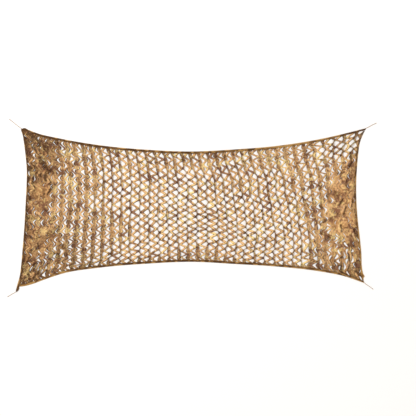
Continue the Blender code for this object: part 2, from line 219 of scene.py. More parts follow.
def make_tie(name, route):
    """Yarns wound about a route, in one mesh."""
    line, at = route_line(route, YARN_STEP)
    side = np.cross(UP, unit(np.gradient(line, axis=0)))
    opening = np.clip(1 - (at[-1] - at) / FRAY_LENGTH, 0, 1)[:, None, None]
    around = np.arange(YARN_SIDES) / YARN_SIDES * 2 * np.pi
    ring = np.cos(around)[:, None] * side[:, None] + np.sin(around)[:, None] * UP
    points, faces, flat = [], [], []
    for yarn in range(YARNS):
        turn = (at / YARN_LAY + yarn / YARNS) * 2 * np.pi
        out = np.cos(turn)[:, None] * side + np.sin(turn)[:, None] * UP
        middle = line + out * YARN_OFFSET * (1 + FRAY_OPENING * opening[..., 0])
        body = middle[:, None] + ring * YARN_RADIUS * (1 - FRAY_THINNER * opening)
        body[..., 2] = np.maximum(body[..., 2], YARN_CLEARANCE)
        points.append(body.reshape(-1, 3))
        faces.append(tube_faces(len(at), YARN_SIDES, yarn * len(at) * YARN_SIDES))
        down_cord, round_yarn = np.broadcast_arrays(at[:, None], yarn + around / (2 * np.pi))
        flat.append(np.stack([down_cord, round_yarn], -1).reshape(-1, 2))
    made = add_mesh(name + "_cord", np.concatenate(points), np.concatenate(faces), np.concatenate(flat))
    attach(made, BODY)
    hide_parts(name)
    print(name, round(float(at[-1]), 3), "m")
    return made


TIES = [make_tie(name, route) for name, route in TIE_ROUTES.items()]

# %% [markdown]
# ## The outline
# Pulled at its four corners, the netting draws in along all four sides. A curve object could hold its
# outline, but the net also needs every place inside. So the outline is four short tables, and a place is
# given by its share of the way across and up. Where a side lies depends on the height, and the other way
# round, so the place is found by going back and forth between the two until it settles.

# %% Outline of the netting
TOP_EDGE = (  # x, y
    (-1.540, 0.735), (-1.513, 0.743), (-1.480, 0.728), (-1.400, 0.697), (-1.200, 0.650), (-0.800, 0.583),
    (-0.400, 0.546), (0.000, 0.530), (0.400, 0.549), (0.800, 0.583), (1.200, 0.648), (1.450, 0.706),
    (1.592, 0.742),
)
BOTTOM_EDGE = (  # x, y
    (-1.575, -0.700), (-1.520, -0.694), (-1.435, -0.672), (-1.350, -0.640), (-1.160, -0.577),
    (-0.845, -0.527), (-0.400, -0.489), (0.000, -0.472), (0.400, -0.492), (0.800, -0.517),
    (1.150, -0.556), (1.400, -0.605), (1.574, -0.665),
)
LEFT_EDGE = (  # y, x
    (-0.743, -1.592), (-0.690, -1.581), (-0.645, -1.568), (-0.600, -1.556), (-0.500, -1.543),
    (-0.340, -1.529), (-0.150, -1.514), (0.050, -1.503), (0.230, -1.494), (0.360, -1.492),
    (0.490, -1.503), (0.615, -1.519), (0.680, -1.530), (0.728, -1.546),
)
RIGHT_EDGE = (  # y, x
    (-0.665, 1.574), (-0.600, 1.560), (-0.500, 1.551), (-0.400, 1.548), (-0.255, 1.534), (-0.130, 1.519),
    (0.060, 1.504), (0.245, 1.501), (0.370, 1.507), (0.525, 1.521), (0.610, 1.534), (0.680, 1.560),
    (0.742, 1.592),
)
MEDIAN_WIDTH = 3.0  # about; the search for a place starts from it
MEDIAN_HEIGHT = 1.15
PLACE_STEPS = 24


def place(across, up, left=0.0, right=0.0, bottom=0.0, top=0.0):
    """The point at these shares of the way between the edges, each edge moved in by its inset."""
    across, up = np.broadcast_arrays(np.asarray(across, float), np.asarray(up, float))
    x, y = MEDIAN_WIDTH * (across - 0.5), MEDIAN_HEIGHT * (up - 0.5)
    for _ in range(PLACE_STEPS):
        x_left, x_right = smooth(LEFT_EDGE, y) + left, smooth(RIGHT_EDGE, y) - right
        x = x_left + across * (x_right - x_left)
        y_bottom, y_top = smooth(BOTTOM_EDGE, x) + bottom, smooth(TOP_EDGE, x) - top
        y = y_bottom + up * (y_top - y_bottom)
    return np.stack([x, y], axis=-1)


print("middle of the netting at", place(0.5, 0.5).round(3))

# %% [markdown]
# ## How far the slits stand apart
# The cloth isn't pulled evenly. Its two ends are nearly shut, and in the middle a pair of slit columns takes
# a third as much room again, while the slits draw closer together up and down. An even grid would be
# simpler, but it would look like wire. So two tables hold these distances over the netting. Summed across
# and up, they number every column and half row, and the places between are found by turning the sums round.

# %% Spacing of the pattern
STATIONS_X = (-1.52, -1.40, -1.20, -0.95, -0.65, -0.38, -0.10, 0.18, 0.45, 0.72, 0.99, 1.22, 1.50)
PAIR_WIDTHS = (  # share of the way up, and the width of two slit columns at each station, in cm
    (0.04, (7.4, 7.6, 8.0, 8.4, 9.3, 9.3, 8.9, 8.2, 9.2, 9.1, 8.0, 7.6, 7.4)),
    (0.24, (6.9, 6.9, 7.5, 8.1, 8.2, 8.7, 8.8, 9.2, 8.9, 8.3, 7.5, 7.0, 6.8)),
    (0.47, (6.9, 6.9, 7.3, 7.6, 8.1, 8.5, 9.0, 8.8, 8.2, 7.8, 7.8, 6.9, 6.6)),
    (0.70, (7.0, 7.0, 7.3, 7.6, 8.3, 8.8, 8.7, 8.2, 7.8, 7.9, 8.4, 7.6, 6.8)),
    (0.93, (7.2, 7.2, 7.6, 8.2, 8.8, 8.6, 8.2, 8.0, 8.2, 8.1, 8.9, 9.3, 9.8)),
    (1.00, (7.2, 7.2, 7.6, 8.2, 8.8, 8.6, 8.2, 8.0, 8.2, 8.1, 8.9, 10.0, 13.0)),
)
SLIT_PITCHES = (  # share of the way up, and the distance from a slit to the next in its column, in cm
    (0.04, (8.2, 8.0, 6.7, 5.8, 5.3, 5.2, 5.9, 6.4, 5.5, 5.8, 6.1, 7.3, 7.8)),
    (0.24, (8.2, 8.1, 7.8, 7.2, 7.3, 6.6, 6.0, 5.4, 5.5, 6.6, 7.5, 8.0, 8.0)),
    (0.47, (8.2, 8.2, 8.1, 7.8, 7.5, 6.7, 5.7, 5.5, 6.4, 7.0, 7.5, 8.0, 8.0)),
    (0.70, (8.2, 8.2, 8.4, 7.8, 7.2, 6.3, 6.4, 7.0, 7.3, 7.3, 7.2, 7.4, 8.4)),
    (0.93, (8.0, 8.0, 7.9, 7.5, 6.7, 6.6, 7.1, 7.5, 7.0, 7.3, 6.8, 6.2, 5.8)),
)
CM, MM = 0.01, 0.001
PAIRS = 38  # of slit columns
PITCHES = 16  # slits in a column
COLUMNS, HALF_ROWS = 2 * PAIRS, 2 * PITCHES
HEM_INSET = 0.012  # how far inside the outline the cloth ends
GRID = (121, 61)  # places across and up where the distances are summed
SHARE_STEPS = 30
INSETS = {side: HEM_INSET for side in ("left", "right", "bottom", "top")}
GRID_PLACES = place(*np.meshgrid(*(np.linspace(0, 1, n) for n in GRID), indexing="ij"), **INSETS)


def soft_step(values):
    """0 below 0, 1 above 1 and a soft rise between."""
    t = np.clip(values, 0, 1)
    return t * t * (3 - 2 * t)


def field(table):
    """A table's value at every point of the grid."""
    ups, rows = zip(*table)
    up = np.broadcast_to(np.linspace(0, 1, GRID[1]), GRID)
    x = np.clip(GRID_PLACES[..., 0], STATIONS_X[0], STATIONS_X[-1])
    rows = np.stack([smooth(list(zip(STATIONS_X, row)), x) for row in rows])
    i = np.clip(np.searchsorted(ups, up) - 1, 0, len(ups) - 2)
    t = soft_step((up - np.array(ups)[i]) / np.diff(ups)[i])
    low, high = (np.take_along_axis(rows, k[None], 0)[0] for k in (i, i + 1))
    return low * (1 - t) + high * t


def number(table, axis, total):
    """How many half distances of a table lie before each point of the grid, from 0 to the total."""
    steps = np.linalg.norm(np.diff(GRID_PLACES, axis=axis), axis=-1)
    distance = np.moveaxis(field(table) * CM, axis, 0)
    apart = np.moveaxis((distance[1:] + distance[:-1]) / 2, 0, axis)
    count = np.cumsum(steps * 2 / apart, axis)
    count = np.concatenate([np.zeros_like(np.take(count, [0], axis)), count], axis)
    return count * total / np.take(count, [-1], axis)


COLUMN_AT = number(PAIR_WIDTHS, 0, COLUMNS)
HALF_ROW_AT = number(SLIT_PITCHES, 1, HALF_ROWS)
print("numbered up to column", COLUMN_AT.max().round(), "and half row", HALF_ROW_AT.max().round())

# %% From numbers to places


def sample(grid, across, up):
    """A grid's value at these shares of the way across and up."""
    a, u = np.clip(across, 0, 1) * (GRID[0] - 1), np.clip(up, 0, 1) * (GRID[1] - 1)
    i, j = np.minimum(a.astype(int), GRID[0] - 2), np.minimum(u.astype(int), GRID[1] - 2)
    s, t = a - i, u - j
    low = grid[i, j] * (1 - s) + grid[i + 1, j] * s
    high = grid[i, j + 1] * (1 - s) + grid[i + 1, j + 1] * s
    return low * (1 - t) + high * t


def shares(column, half_row):
    """How far across and up a column line and half row of the slit pattern lie."""
    column, half_row = np.broadcast_arrays(np.asarray(column, float), np.asarray(half_row, float))
    across, up = column / COLUMNS, half_row / HALF_ROWS
    for _ in range(SHARE_STEPS):
        across = np.clip(across + (column - sample(COLUMN_AT, across, up)) / COLUMNS, 0, 1)
        up = np.clip(up + (half_row - sample(HALF_ROW_AT, across, up)) / HALF_ROWS, 0, 1)
    return across, up


def lattice(column, half_row):
    """The place of a column line and half row of the slit pattern."""
    return place(*shares(column, half_row), **INSETS)


print("column 38, half row 16 lies at", lattice(38, 16).round(3))

# %% [markdown]
# ## The slit cloth
# Each column holds curved slits one above the other, and neighbouring columns face each other, half a
# pitch apart. Pulled open, the cloth between ")" and "(" becomes a zigzag strand. The cloth between "(" and
# ")" stays a straight band, and it carries the tongues that the slits cut free, which curl up from the
# surface. A cloth solver can open such a pattern, but it takes long and the result is hard to steer. Here
# each strand and band is laid by rule between its joints, which lie on the pattern worked out above.

# %% The flat cutting pattern
PITCH = 0.086
STEPS = (0.0, 0.125, 0.5, 0.875)  # rows of mesh in each half pitch
STRAND = 0.060  # flat cloth between the slit ends on both sides of a strand
BAND = 0.007  # the same for a band
BOW = 0.029  # how far a slit's middle stands off the line of its ends
BOW_POWER = 1.15  # 2 is a round arc, 1 a straight V
HALF = np.append((np.arange(HALF_ROWS)[:, None] + STEPS).ravel(), HALF_ROWS)
ROW_AT = HALF * PITCH / 2
EVEN, ODD = 2 * np.arange(PITCHES + 1), 2 * np.arange(PITCHES) + 1  # half rows of left and right joints
NEAREST = np.round(HALF)
BRIDGES = np.abs(HALF - NEAREST) <= STEPS[1]
EVEN_BRIDGES, ODD_BRIDGES = (np.flatnonzero(BRIDGES & (NEAREST % 2 == odd)) for odd in (0, 1))


def bow(first):
    """How far a slit stands off the line of its ends in each row; first is its middle's half row."""
    middle = np.floor((HALF - first) / 2 + 0.5) * 2 + first
    return BOW * np.clip(1 - np.abs((HALF - middle) / STEPS[-1]) ** BOW_POWER, 0, 1)


BOW_LEFT, BOW_RIGHT = bow(1), bow(0)
SWING = (BOW_RIGHT - BOW_LEFT) / BOW  # 1 where a strand stands furthest right, -1 furthest left
RISING = np.clip(np.gradient(SWING, HALF), 0, 1)  # 1 on the legs that lean right going up, 0 on the others
print("flat cloth", round(PAIRS * (STRAND + BAND) + STRAND, 2), "by", round(ROW_AT[-1], 2), "m")

# %% [markdown]
# How far the slits open is a table too. In the closed ends they stay shut, apart from those listed.
# Where they are a little open, each shows as a thin "<" or ">". In the middle they are wide triangles. A
# strand's slanting legs keep their length, so what a pair of columns measures across, less those legs, is
# left for the band.

# %% Values that change in patches


def between(knots, at, axis=0):
    """Values read between some knots, changing softly from one knot to the next."""
    low = np.minimum(at.astype(int), knots.shape[axis] - 2)
    t = soft_step(at - low).reshape((-1,) + (1,) * (knots.ndim - 1 - axis))
    return np.take(knots, low, axis) * (1 - t) + np.take(knots, low + 1, axis) * t


def patches(rng, shape, cells):
    """A grid of random values from -1 to 1 that change softly over patches."""
    knots = rng.uniform(-1, 1, [n + 2 for n in cells])
    for axis, (count, n) in enumerate(zip(shape, cells)):
        knots = between(knots, np.linspace(0, n, count), axis)
    return knots


print("a grid of patches:", patches(np.random.default_rng(0), (3, 2), (2, 1)).round(2).tolist())

# %% How far the slits are open
OPENNESS = (  # share of the way up, and how open the slits are at each station, in tenths
    (0.04, (0, 1, 3, 6, 8, 8, 6, 6, 9, 9, 7, 4, 1)),
    (0.24, (0, 0, 4, 5, 7, 9, 10, 10, 10, 10, 7, 4, 0)),
    (0.47, (0, 0, 4, 5, 8, 9, 10, 10, 10, 9, 7, 4, 0)),
    (0.70, (0, 0, 4, 5, 8, 9, 10, 9, 8, 8, 6, 6, 0)),
    (0.93, (0, 0, 4, 7, 8, 7, 6, 6, 7, 6, 5, 7, 10)),
)
TENTH = 0.1
LEG = math.hypot(STRAND, PITCH / 2)
WIDEST = 0.030  # a band's most
STRAY = 0.22  # most that a slit opens by itself where the cloth isn't pulled
STRAY_POWER = 14  # the higher it is, the fewer slits do
PULLED_SLITS = (  # x and y in cm, and how open, in tenths, the slits there are in the closed cloth
    (-114, 44, 9), (-135, 64, 5), (-130, 60, 7), (-147, 62, 4), (-149, 55, 5), (-144, 52, 4),
    (-138, 49, 5), (-131, 43, 5), (-127, 37, 5), (-117, 60, 7), (-110, 58, 6), (-124, 53, 4),
    (-121, 47, 5), (-105, 51, 5), (-143, 5, 6), (-139, -3, 4), (-131, -1, 5), (-139, -11, 5),
    (-132, -11, 6), (-145, -14, 5), (-136, -21, 5), (-145, -25, 4), (-132, -35, 8), (-133, -42, 6),
    (-127, -41, 9), (-137, -46, 7), (-142, -50, 5), (-151, -53, 4), (-134, -51, 10), (-131, -53, 9),
    (-136, -56, 9), (-127, -55, 7), (-131, -59, 6), (-153, -61, 7), (-149, -61, 7), (-154, -66, 7),
    (136, 25, 6), (144, 30, 6), (124, 25, 5), (125, 9, 5), (146, -1, 4), (120, -15, 5), (123, -18, 5),
    (127, -25, 6), (134, -26, 8), (137, -28, 7), (132, -34, 6), (119, -34, 7), (141, -35, 8),
    (125, -40, 6), (136, -42, 7), (133, -43, 6), (140, -44, 6), (144, -43, 6), (120, -46, 7),
    (116, -48, 9), (124, -49, 6), (131, -49, 6), (138, -49, 9), (145, -51, 7), (149, -52, 8),
    (122, -53, 8), (135, -56, 6), (113, -51, 9),
)
PULL_REACH = 0.028
PATCHY = 0.18  # how much more or less the cloth is open from place to place
HEM_OPEN = 0.7  # share of it that is left in the row next to the upper and lower hem
OPEN_FROM = (  # y, x: right of this line the cloth is pulled open
    (-0.70, -1.42), (-0.45, -1.38), (-0.10, -1.33), (0.10, -1.33), (0.40, -1.28), (0.70, -1.30),
)
OPEN_TO = (  # y, x: and left of this one
    (-0.66, 1.42), (-0.40, 1.38), (-0.10, 1.34), (0.10, 1.33), (0.28, 1.37), (0.40, 1.52), (0.75, 1.62),
)
END_FADE = 0.10  # how far in from these lines it takes to be pulled as the table says
print(len(PULLED_SLITS), "slits opened by hand")

# %% The openness of every band
LINES = 2 * np.arange(PAIRS) + 1.0  # the bands' places, counted in columns
DRIFT = 0.005  # how far the joints of a whole patch lie off their places
PATCH_CELLS, DRIFT_CELLS = (16, 9), (19, 11)  # patches across and up
BAND_GRID = (PAIRS, HALF_ROWS + 1)
rng = np.random.default_rng(11)
PATCH = patches(rng, BAND_GRID, PATCH_CELLS)
DRIFTS = np.stack([patches(rng, BAND_GRID, DRIFT_CELLS) for _ in range(2)], -1) * DRIFT
OPEN_GRID = field(OPENNESS) * TENTH


def nearness(places, x, y, reach):
    """How near each place lies to each of some spots given in cm, from 0 to 1."""
    distance = np.linalg.norm(places[..., None, :] - np.stack([x, y], -1) * CM, axis=-1)
    return np.exp(-((distance / reach) ** 2))


def pulled_by_hand(places):
    """How open the slits placed by hand make the cloth at each place."""
    x, y, tenths = np.array(PULLED_SLITS, float).T
    return (tenths * TENTH * nearness(places, x, y, PULL_REACH)).max(-1)


def openness(rows):
    """Each band's share of a column, its openness from 0 to 1, and the width past the flat cloth's."""
    line, row = np.meshgrid(LINES, rows, indexing="ij")
    above, below = np.clip(row + 0.5, 0, HALF_ROWS), np.clip(row - 0.5, 0, HALF_ROWS)
    wide = np.linalg.norm(lattice(line + 0.5, row) - lattice(line - 0.5, row), axis=-1)
    high = np.linalg.norm(lattice(line, above) - lattice(line, below), axis=-1) / (above - below)
    band = np.clip(2 * wide - np.sqrt(np.clip(LEG**2 - high**2, 0, None)), BAND, WIDEST)
    places = lattice(line, row)
    x, y = np.moveaxis(places, -1, 0)
    inside = np.minimum(x - smooth(OPEN_FROM, y), smooth(OPEN_TO, y) - x)
    pulled = np.clip(sample(OPEN_GRID, *shares(line, row)) + PATCHY * PATCH[:, rows], 0, 1)
    pulled[(row == 0) | (row == HALF_ROWS)] *= HEM_OPEN
    stray = STRAY * rng.uniform(0, 1, pulled.shape) ** STRAY_POWER
    pulled = np.maximum(pulled * np.clip(inside / END_FADE, 0, 1), np.maximum(stray, pulled_by_hand(places)))
    return band / wide, pulled, 2 * wide - (STRAND + BAND)


SPAN_EVEN, OPEN_EVEN, SPARE_EVEN = openness(EVEN)
SPAN_ODD, OPEN_ODD, SPARE_ODD = openness(ODD)
print("open in the middle", OPEN_EVEN[PAIRS // 2].mean().round(2))
print("open at the left", OPEN_EVEN[0].mean().round(2))

# %% [markdown]
# Cut cloth never hangs as evenly as its pattern, so the joints wander a few millimetres off their places.
# Near the corners the pull gathers the cloth into folds. Cloth folded over itself would be hard to cut into
# slits, so there the joints wander further and the cloth is painted darker instead, as painted shade of the
# folds, by a short table. Between two joints, a row of the mesh is placed by how far along it lies, and the
# rows lie a little further apart at the joints than between them.

# %% The joints between strands and bands
WANDER = 0.0035  # of the joints, at random
GATHERS = (  # x, y and reach in cm, painted shade, and wander in mm, where folds run together
    (-149, 70, 20, 0.27, 2), (-136, 56, 20, 0.26, 3), (-140, 40, 14, 0.35, 3), (-158, -70, 22, 0.40, 5),
    (-140, -52, 14, 0.15, 9), (-112, -42, 20, 0.32, 5), (-97, -40, 16, 0.25, 4), (-108, 56, 16, 0.10, 8),
    (157, -67, 22, 0.50, 3), (131, -50, 15, 0.28, 11), (114, -22, 18, 0.00, 8), (108, 48, 16, 0.00, 6),
    (117, -46, 12, 0.10, 10), (143, -40, 12, 0.22, 10), (158, 72, 14, 0.25, 0),
)
SHUT_WANDER = 0.3  # of it, where the slits are shut
WARP = 0.30  # by how much further apart the rows lie at the joints, and closer between them


def gathered(places):
    """How much painted shade darkens the cloth, and how far its joints wander, where folds run together."""
    x, y, reach, shade, wander = np.array(GATHERS).T
    near = nearness(places, x, y, reach * CM)
    return (near * shade).max(-1), (near * wander).max(-1) * MM


def joints(lines, rows, side, open_share):
    """The joints of the bands on one side, each a little off its place."""
    line, row = np.meshgrid(lines, rows, indexing="ij")
    at = lattice(line + side, row)
    wander = rng.normal(0, WANDER, at.shape)
    off = wander + DRIFTS[:, rows]
    off *= SHUT_WANDER + (1 - SHUT_WANDER) * open_share[..., None]
    off += wander / WANDER * gathered(at)[1][..., None]
    off[:, (row[0] == 0) | (row[0] == HALF_ROWS)] = 0
    return at + off


LEFT_JOINTS = joints(LINES, EVEN, -SPAN_EVEN / 2, OPEN_EVEN)
RIGHT_JOINTS = joints(LINES, ODD, SPAN_ODD / 2, OPEN_ODD)


def along(values, rows, warp=0.0):
    """Values that are known at some half rows, read at every row of the mesh."""
    at = np.clip(HALF + warp * np.sin(2 * np.pi * HALF) / (2 * np.pi), rows[0], rows[-1])
    i = np.clip(np.searchsorted(rows, at, side="right") - 1, 0, len(rows) - 2)
    t = ((at - rows[i]) / (rows[i + 1] - rows[i])).reshape((1, -1) + (1,) * (values.ndim - 2))
    return values[:, i] * (1 - t) + values[:, i + 1] * t


def both(at_even, at_odd):
    """Values at even and odd half rows, put in order."""
    merged = np.zeros((len(at_even), HALF_ROWS + 1, *at_even.shape[2:]))
    merged[:, ::2], merged[:, 1::2] = at_even, at_odd
    return merged


def every_row(at_even, at_odd, warp=0.0):
    """Values at even and odd half rows, read at every row of the mesh."""
    return along(both(at_even, at_odd), np.arange(HALF_ROWS + 1), warp)


def row_slope(columns):
    """The angle at which each row of the mesh climbs to the right, in radians."""
    columns = np.asarray(columns, float)[:, None]
    low, high = (lattice(np.clip(columns + aside, 0, COLUMNS), HALF[None]) for aside in (-0.5, 0.5))
    return np.arctan2(high[..., 1] - low[..., 1], high[..., 0] - low[..., 0])


# %% What each row of the mesh has to know
TILT_FROM, TILT_OVER = 0.08, 0.25  # openness where the tongues begin to stand up, and how much more it takes
CURL_FROM, CURL_OVER = 0.45, 0.43  # the same for where they begin to curl
SETTLE_OVER = 0.050  # how far from the upper and lower edge the tape still holds the cloth flat
OPEN = every_row(OPEN_EVEN, OPEN_ODD)
STRAND_OPEN = np.concatenate([OPEN[:1], (OPEN[1:] + OPEN[:-1]) / 2, OPEN[-1:]])
SPARE = np.clip(every_row(SPARE_EVEN, SPARE_ODD), 0, None)  # width past the flat cloth's
LIFTED, CURLED = np.clip((OPEN - TILT_FROM) / TILT_OVER, 0, 1), soft_step((OPEN - CURL_FROM) / CURL_OVER)
LITTLE_OPEN = LIFTED * (1 - CURLED)
SETTLE = np.clip(np.minimum(ROW_AT, ROW_AT[-1] - ROW_AT) / SETTLE_OVER, 0, 1)  # 0 where the tape holds it
TONGUES = [np.clip(np.round((HALF - first) / 2).astype(int), 0, PITCHES) for first in (1, 0)]  # left, right


def each_tongue(least, most, count=PAIRS, tongues=TONGUES):
    """A random number for every tongue, read in each of its rows, for left tongues and for right ones."""
    return [rng.uniform(least, most, (count, PITCHES + 1))[:, tongue] for tongue in tongues]


print("open wide in", (CURLED > 0.5).mean().round(2), "of all rows")

# %% [markdown]
# A strand has three points in each row: both cut edges and its middle. Its width is what the bows leave of
# the flat cloth. Where it is pulled open its rows turn with its slant, and it arches a little. Where it is
# shut its rows follow the pattern, so that the two sides of a shut slit meet without a gap.

# %% Helpers for rows
BLUR = np.array([1, 2, 3, 2, 1]) / 9  # evens out a row's turn with its neighbours'
LEAST_RISE = 1e-4  # from one row to the next


def middle_line(at_left, at_right, width, swing):
    """How far across the middle of a strand or band lies in each row, swinging from joint to joint."""
    room = (at_right - at_left)[..., 0] / 2 - width / 2
    return (at_left + at_right)[..., 0] / 2 + swing * room


def slant(x, y):
    """How far a line leans to the right in each row, for each metre up."""
    return np.gradient(x, axis=1) / np.maximum(np.gradient(y, axis=1), LEAST_RISE)


def turned(slope, flat_slope, share, columns, opened):
    """The angle of each row's cross line: by its slant where the cloth is open, by the pattern elsewhere."""
    turn = np.arctan(slope) - np.arctan(flat_slope)
    turn = np.stack([np.convolve(np.pad(row, 2, mode="edge"), BLUR, "valid") for row in turn])
    loose = opened * SETTLE
    return turn * share * loose - row_slope(columns) * (1 - loose)


def across_row(x, y, turn, reach, z):
    """Points at a distance from a line along its turned rows, at some height."""
    return np.stack(np.broadcast_arrays(x + reach * np.cos(turn), y - reach * np.sin(turn), z), -1)


print("a line up 2 and over 1 leans by", slant(np.array([[0.0, 1.0]]), np.array([[0.0, 2.0]])))

# %% Zigzag strands
CUT_TURN = np.gradient(SWING * BOW / 2, ROW_AT)  # a strand's slant on the flat cloth
ARCH, ARCH_SPREAD = 0.46, (0.5, 1.3)  # radians at an open strand's edges, and a strand's own share of it
ARCH_DRAWS_IN = 1.2  # how much narrower an arched strand looks, as the cosine of this much of its arch
LIFT = 0.0015  # of the lowest cloth
THIN_AT, THIN_OVER = (1.50, 0.66), 0.30  # where the strands are pulled thin, and how far round it
THINNER = 0.9  # how much more they arch there
SQUEEZE = (0.008, 0.0085)  # by which a strand folds up beside a little open slit on its left and right
SQUEEZE_SPREAD = (0.4, 1.4)
FOLD_RISE = 0.35  # how strongly the folded strand bulges up


def make_strands():
    """Points of every strand, (strand, row, 3 points, xyz)."""
    right = np.concatenate([LEFT_JOINTS, lattice(COLUMNS, EVEN[None])])
    left = np.concatenate([lattice(0, ODD[None]), RIGHT_JOINTS])
    at_right, at_left = along(right, EVEN), along(left, ODD)
    x = middle_line(at_left, at_right, STRAND - BOW, SWING)
    y = every_row(right[..., 1], left[..., 1], WARP)
    turn = turned(slant(x, y), CUT_TURN[None], 1.0, np.arange(PAIRS + 1) * 2, STRAND_OPEN)
    from_thin = np.hypot(x - THIN_AT[0], y - THIN_AT[1]) / THIN_OVER
    arch = ARCH * STRAND_OPEN * SETTLE * rng.uniform(*ARCH_SPREAD, (PAIRS + 1, 1))
    arch *= 1 + THINNER * np.exp(-(from_thin**2))
    half_width = (STRAND - BOW_LEFT - BOW_RIGHT) / 2
    little, none = LITTLE_OPEN * SETTLE, np.zeros((1, len(HALF)))
    beside_left = np.concatenate([none, little * (BOW_RIGHT > 0)])
    beside_right = np.concatenate([little * (BOW_LEFT > 0), none])
    own = each_tongue(*SQUEEZE_SPREAD, PAIRS + 1, TONGUES[::-1])
    squeeze = [near * most * share for near, most, share in zip((beside_left, beside_right), SQUEEZE, own)]
    fold = FOLD_RISE * np.sqrt((squeeze[0] + squeeze[1]) * half_width)
    points = np.zeros((*x.shape, 3, 3))
    for k, side in enumerate((-1, 0, 1)):
        reach = side * half_width * np.cos(ARCH_DRAWS_IN * arch)
        reach = reach + squeeze[0] * (2 - k) / 2 - squeeze[1] * k / 2
        ridge = half_width * np.sin(arch) + fold if side == 0 else 0
        points[:, :, k] = across_row(x, y, turn, reach, LIFT + ridge)
    along_row = np.stack([np.cos(turn), -np.sin(turn)], -1)
    points[0, :, 0, :2], points[-1, :, 2, :2] = (lattice(column, HALF) for column in (0, COLUMNS))
    points[0, :, 2, :2] = at_right[0] - BOW_LEFT[:, None] * along_row[0]
    points[-1, :, 0, :2] = at_left[-1] + BOW_RIGHT[:, None] * along_row[-1]
    for strand in (0, -1):
        points[strand, :, 1, :2] = (points[strand, :, 0, :2] + points[strand, :, 2, :2]) / 2
    return points


STRANDS = make_strands()
print(len(STRANDS), "strands of", STRANDS.shape[1], "rows")

# %% [markdown]
# A band has four points in each row, two on its edges and two between. Where the slits are open, its
# tongues curl up on an arc, each by its own amount, and the band buckles up between its joints. Where they
# are shut, the tongues lie flat and reach up to the next strand.

# %% Bands and tongues
LEFT_TILT, RIGHT_TILT = 0.36, 0.45  # radians by which the tongues stand up from their band
RIGHT_LESS = 0.5  # share of its tilt that a right tongue has while it isn't curled
LET_GO = 0.8  # how far a right tongue draws back from the next strand once its slit is a little open
CURL = 99.0  # of a fully open tongue, 1 / m
LEAST_CURL = 1e-6  # keeps a flat tongue's arc from dividing by 0
TILT_SPREAD, CURL_SPREAD = (0.7, 1.25), (0.35, 1.40)  # a tongue's own share of each
MOST_CURL = 2.4  # radians at a tongue's tip
BUCKLE, BUCKLE_SPREAD = 0.005, (0.4, 1.2)  # height of an open band's buckle, and its own share of that
BAND_TURN = 0.5  # share of its slant by which a band's rows turn
TALLEST = 0.022  # lifted cloth bends over towards this


def make_bands():
    """Points of every band, (band, row, 4 points, xyz)."""
    at_left, at_right = along(LEFT_JOINTS, EVEN), along(RIGHT_JOINTS, ODD)
    x = middle_line(at_left, at_right, BAND, -SWING)
    y = every_row(LEFT_JOINTS[..., 1], RIGHT_JOINTS[..., 1], WARP)
    turn = turned(slant(x, y), 0, BAND_TURN, LINES, OPEN)
    own_tilt, own_curl = each_tongue(*TILT_SPREAD), each_tongue(*CURL_SPREAD)
    left_tilt = LEFT_TILT * LIFTED * SETTLE * own_tilt[0]
    right_tilt = RIGHT_TILT * (CURLED + RIGHT_LESS * LITTLE_OPEN) * SETTLE * own_tilt[1]
    own_buckle = rng.uniform(*BUCKLE_SPREAD, (PAIRS, 1))
    buckle = BUCKLE * OPEN * SETTLE * own_buckle * np.sin(np.pi * HALF) ** 2
    low, high = -(BAND / 2 + BOW_LEFT), BAND / 2 + BOW_RIGHT
    lying = [1 - LIFTED, 1 - np.maximum(CURLED, LET_GO * LIFTED)]
    longer = [1 + SPARE * share * SETTLE / (BAND / 2 + BOW) for share in lying]
    points = np.zeros((*x.shape, 4, 3))
    for k in range(4):
        s = low + (high - low) * k / 3
        left, distance = s < 0, np.abs(s)
        bend = CURL * CURLED * SETTLE * np.where(left, *own_curl) + LEAST_CURL
        tilt = np.where(left, left_tilt, right_tilt)
        end = np.minimum(tilt + bend * distance, MOST_CURL)
        reach = (np.sin(end) - np.sin(tilt)) / bend * np.where(left, -longer[0], longer[1])
        rise = (np.cos(tilt) - np.cos(end)) / bend + buckle
        points[:, :, k] = across_row(x, y, turn, reach, LIFT + TALLEST * np.tanh(rise / TALLEST))
    return points


BANDS = make_bands()
print("tallest tongue", (BANDS[..., 2].max() / MM).round(1), "mm")

# %% [markdown]
# The strands and bands are one cloth, so they share their points at the joints. Towards the tape, the cloth
# comes down to the height of the slot that holds it.

# %% Height at the hems
HEM_HEIGHT = 0.0023  # of the cloth inside the binding
HEM_BLEND = 0.030
PUCKER = 0.002  # by which points stand up at random


def edge_distance(places):
    """How far inside the netting's outline each place lies, about."""
    x, y = places[..., 0], places[..., 1]
    across = np.minimum(x - smooth(LEFT_EDGE, y), smooth(RIGHT_EDGE, y) - x)
    upward = np.minimum(y - smooth(BOTTOM_EDGE, x), smooth(TOP_EDGE, x) - y)
    return np.minimum(across, upward)


for cloth in (STRANDS, BANDS):
    cloth[..., 2] += rng.uniform(0, PUCKER, cloth.shape[:-1])
    free = soft_step((edge_distance(cloth[..., :2]) - HEM_INSET) / HEM_BLEND)
    cloth[..., 2] = HEM_HEIGHT + (cloth[..., 2] - HEM_HEIGHT) * free
print("cloth up to", (max(STRANDS[..., 2].max(), BANDS[..., 2].max()) / MM).round(1), "mm")

# %% [markdown]
# The print has to run over the cut cloth as it did before the cloth was pulled. So every point also gets the
# place where it lay on the flat cloth, which does the work of an unwrapped map.

# %% Where the points lay on the flat cloth


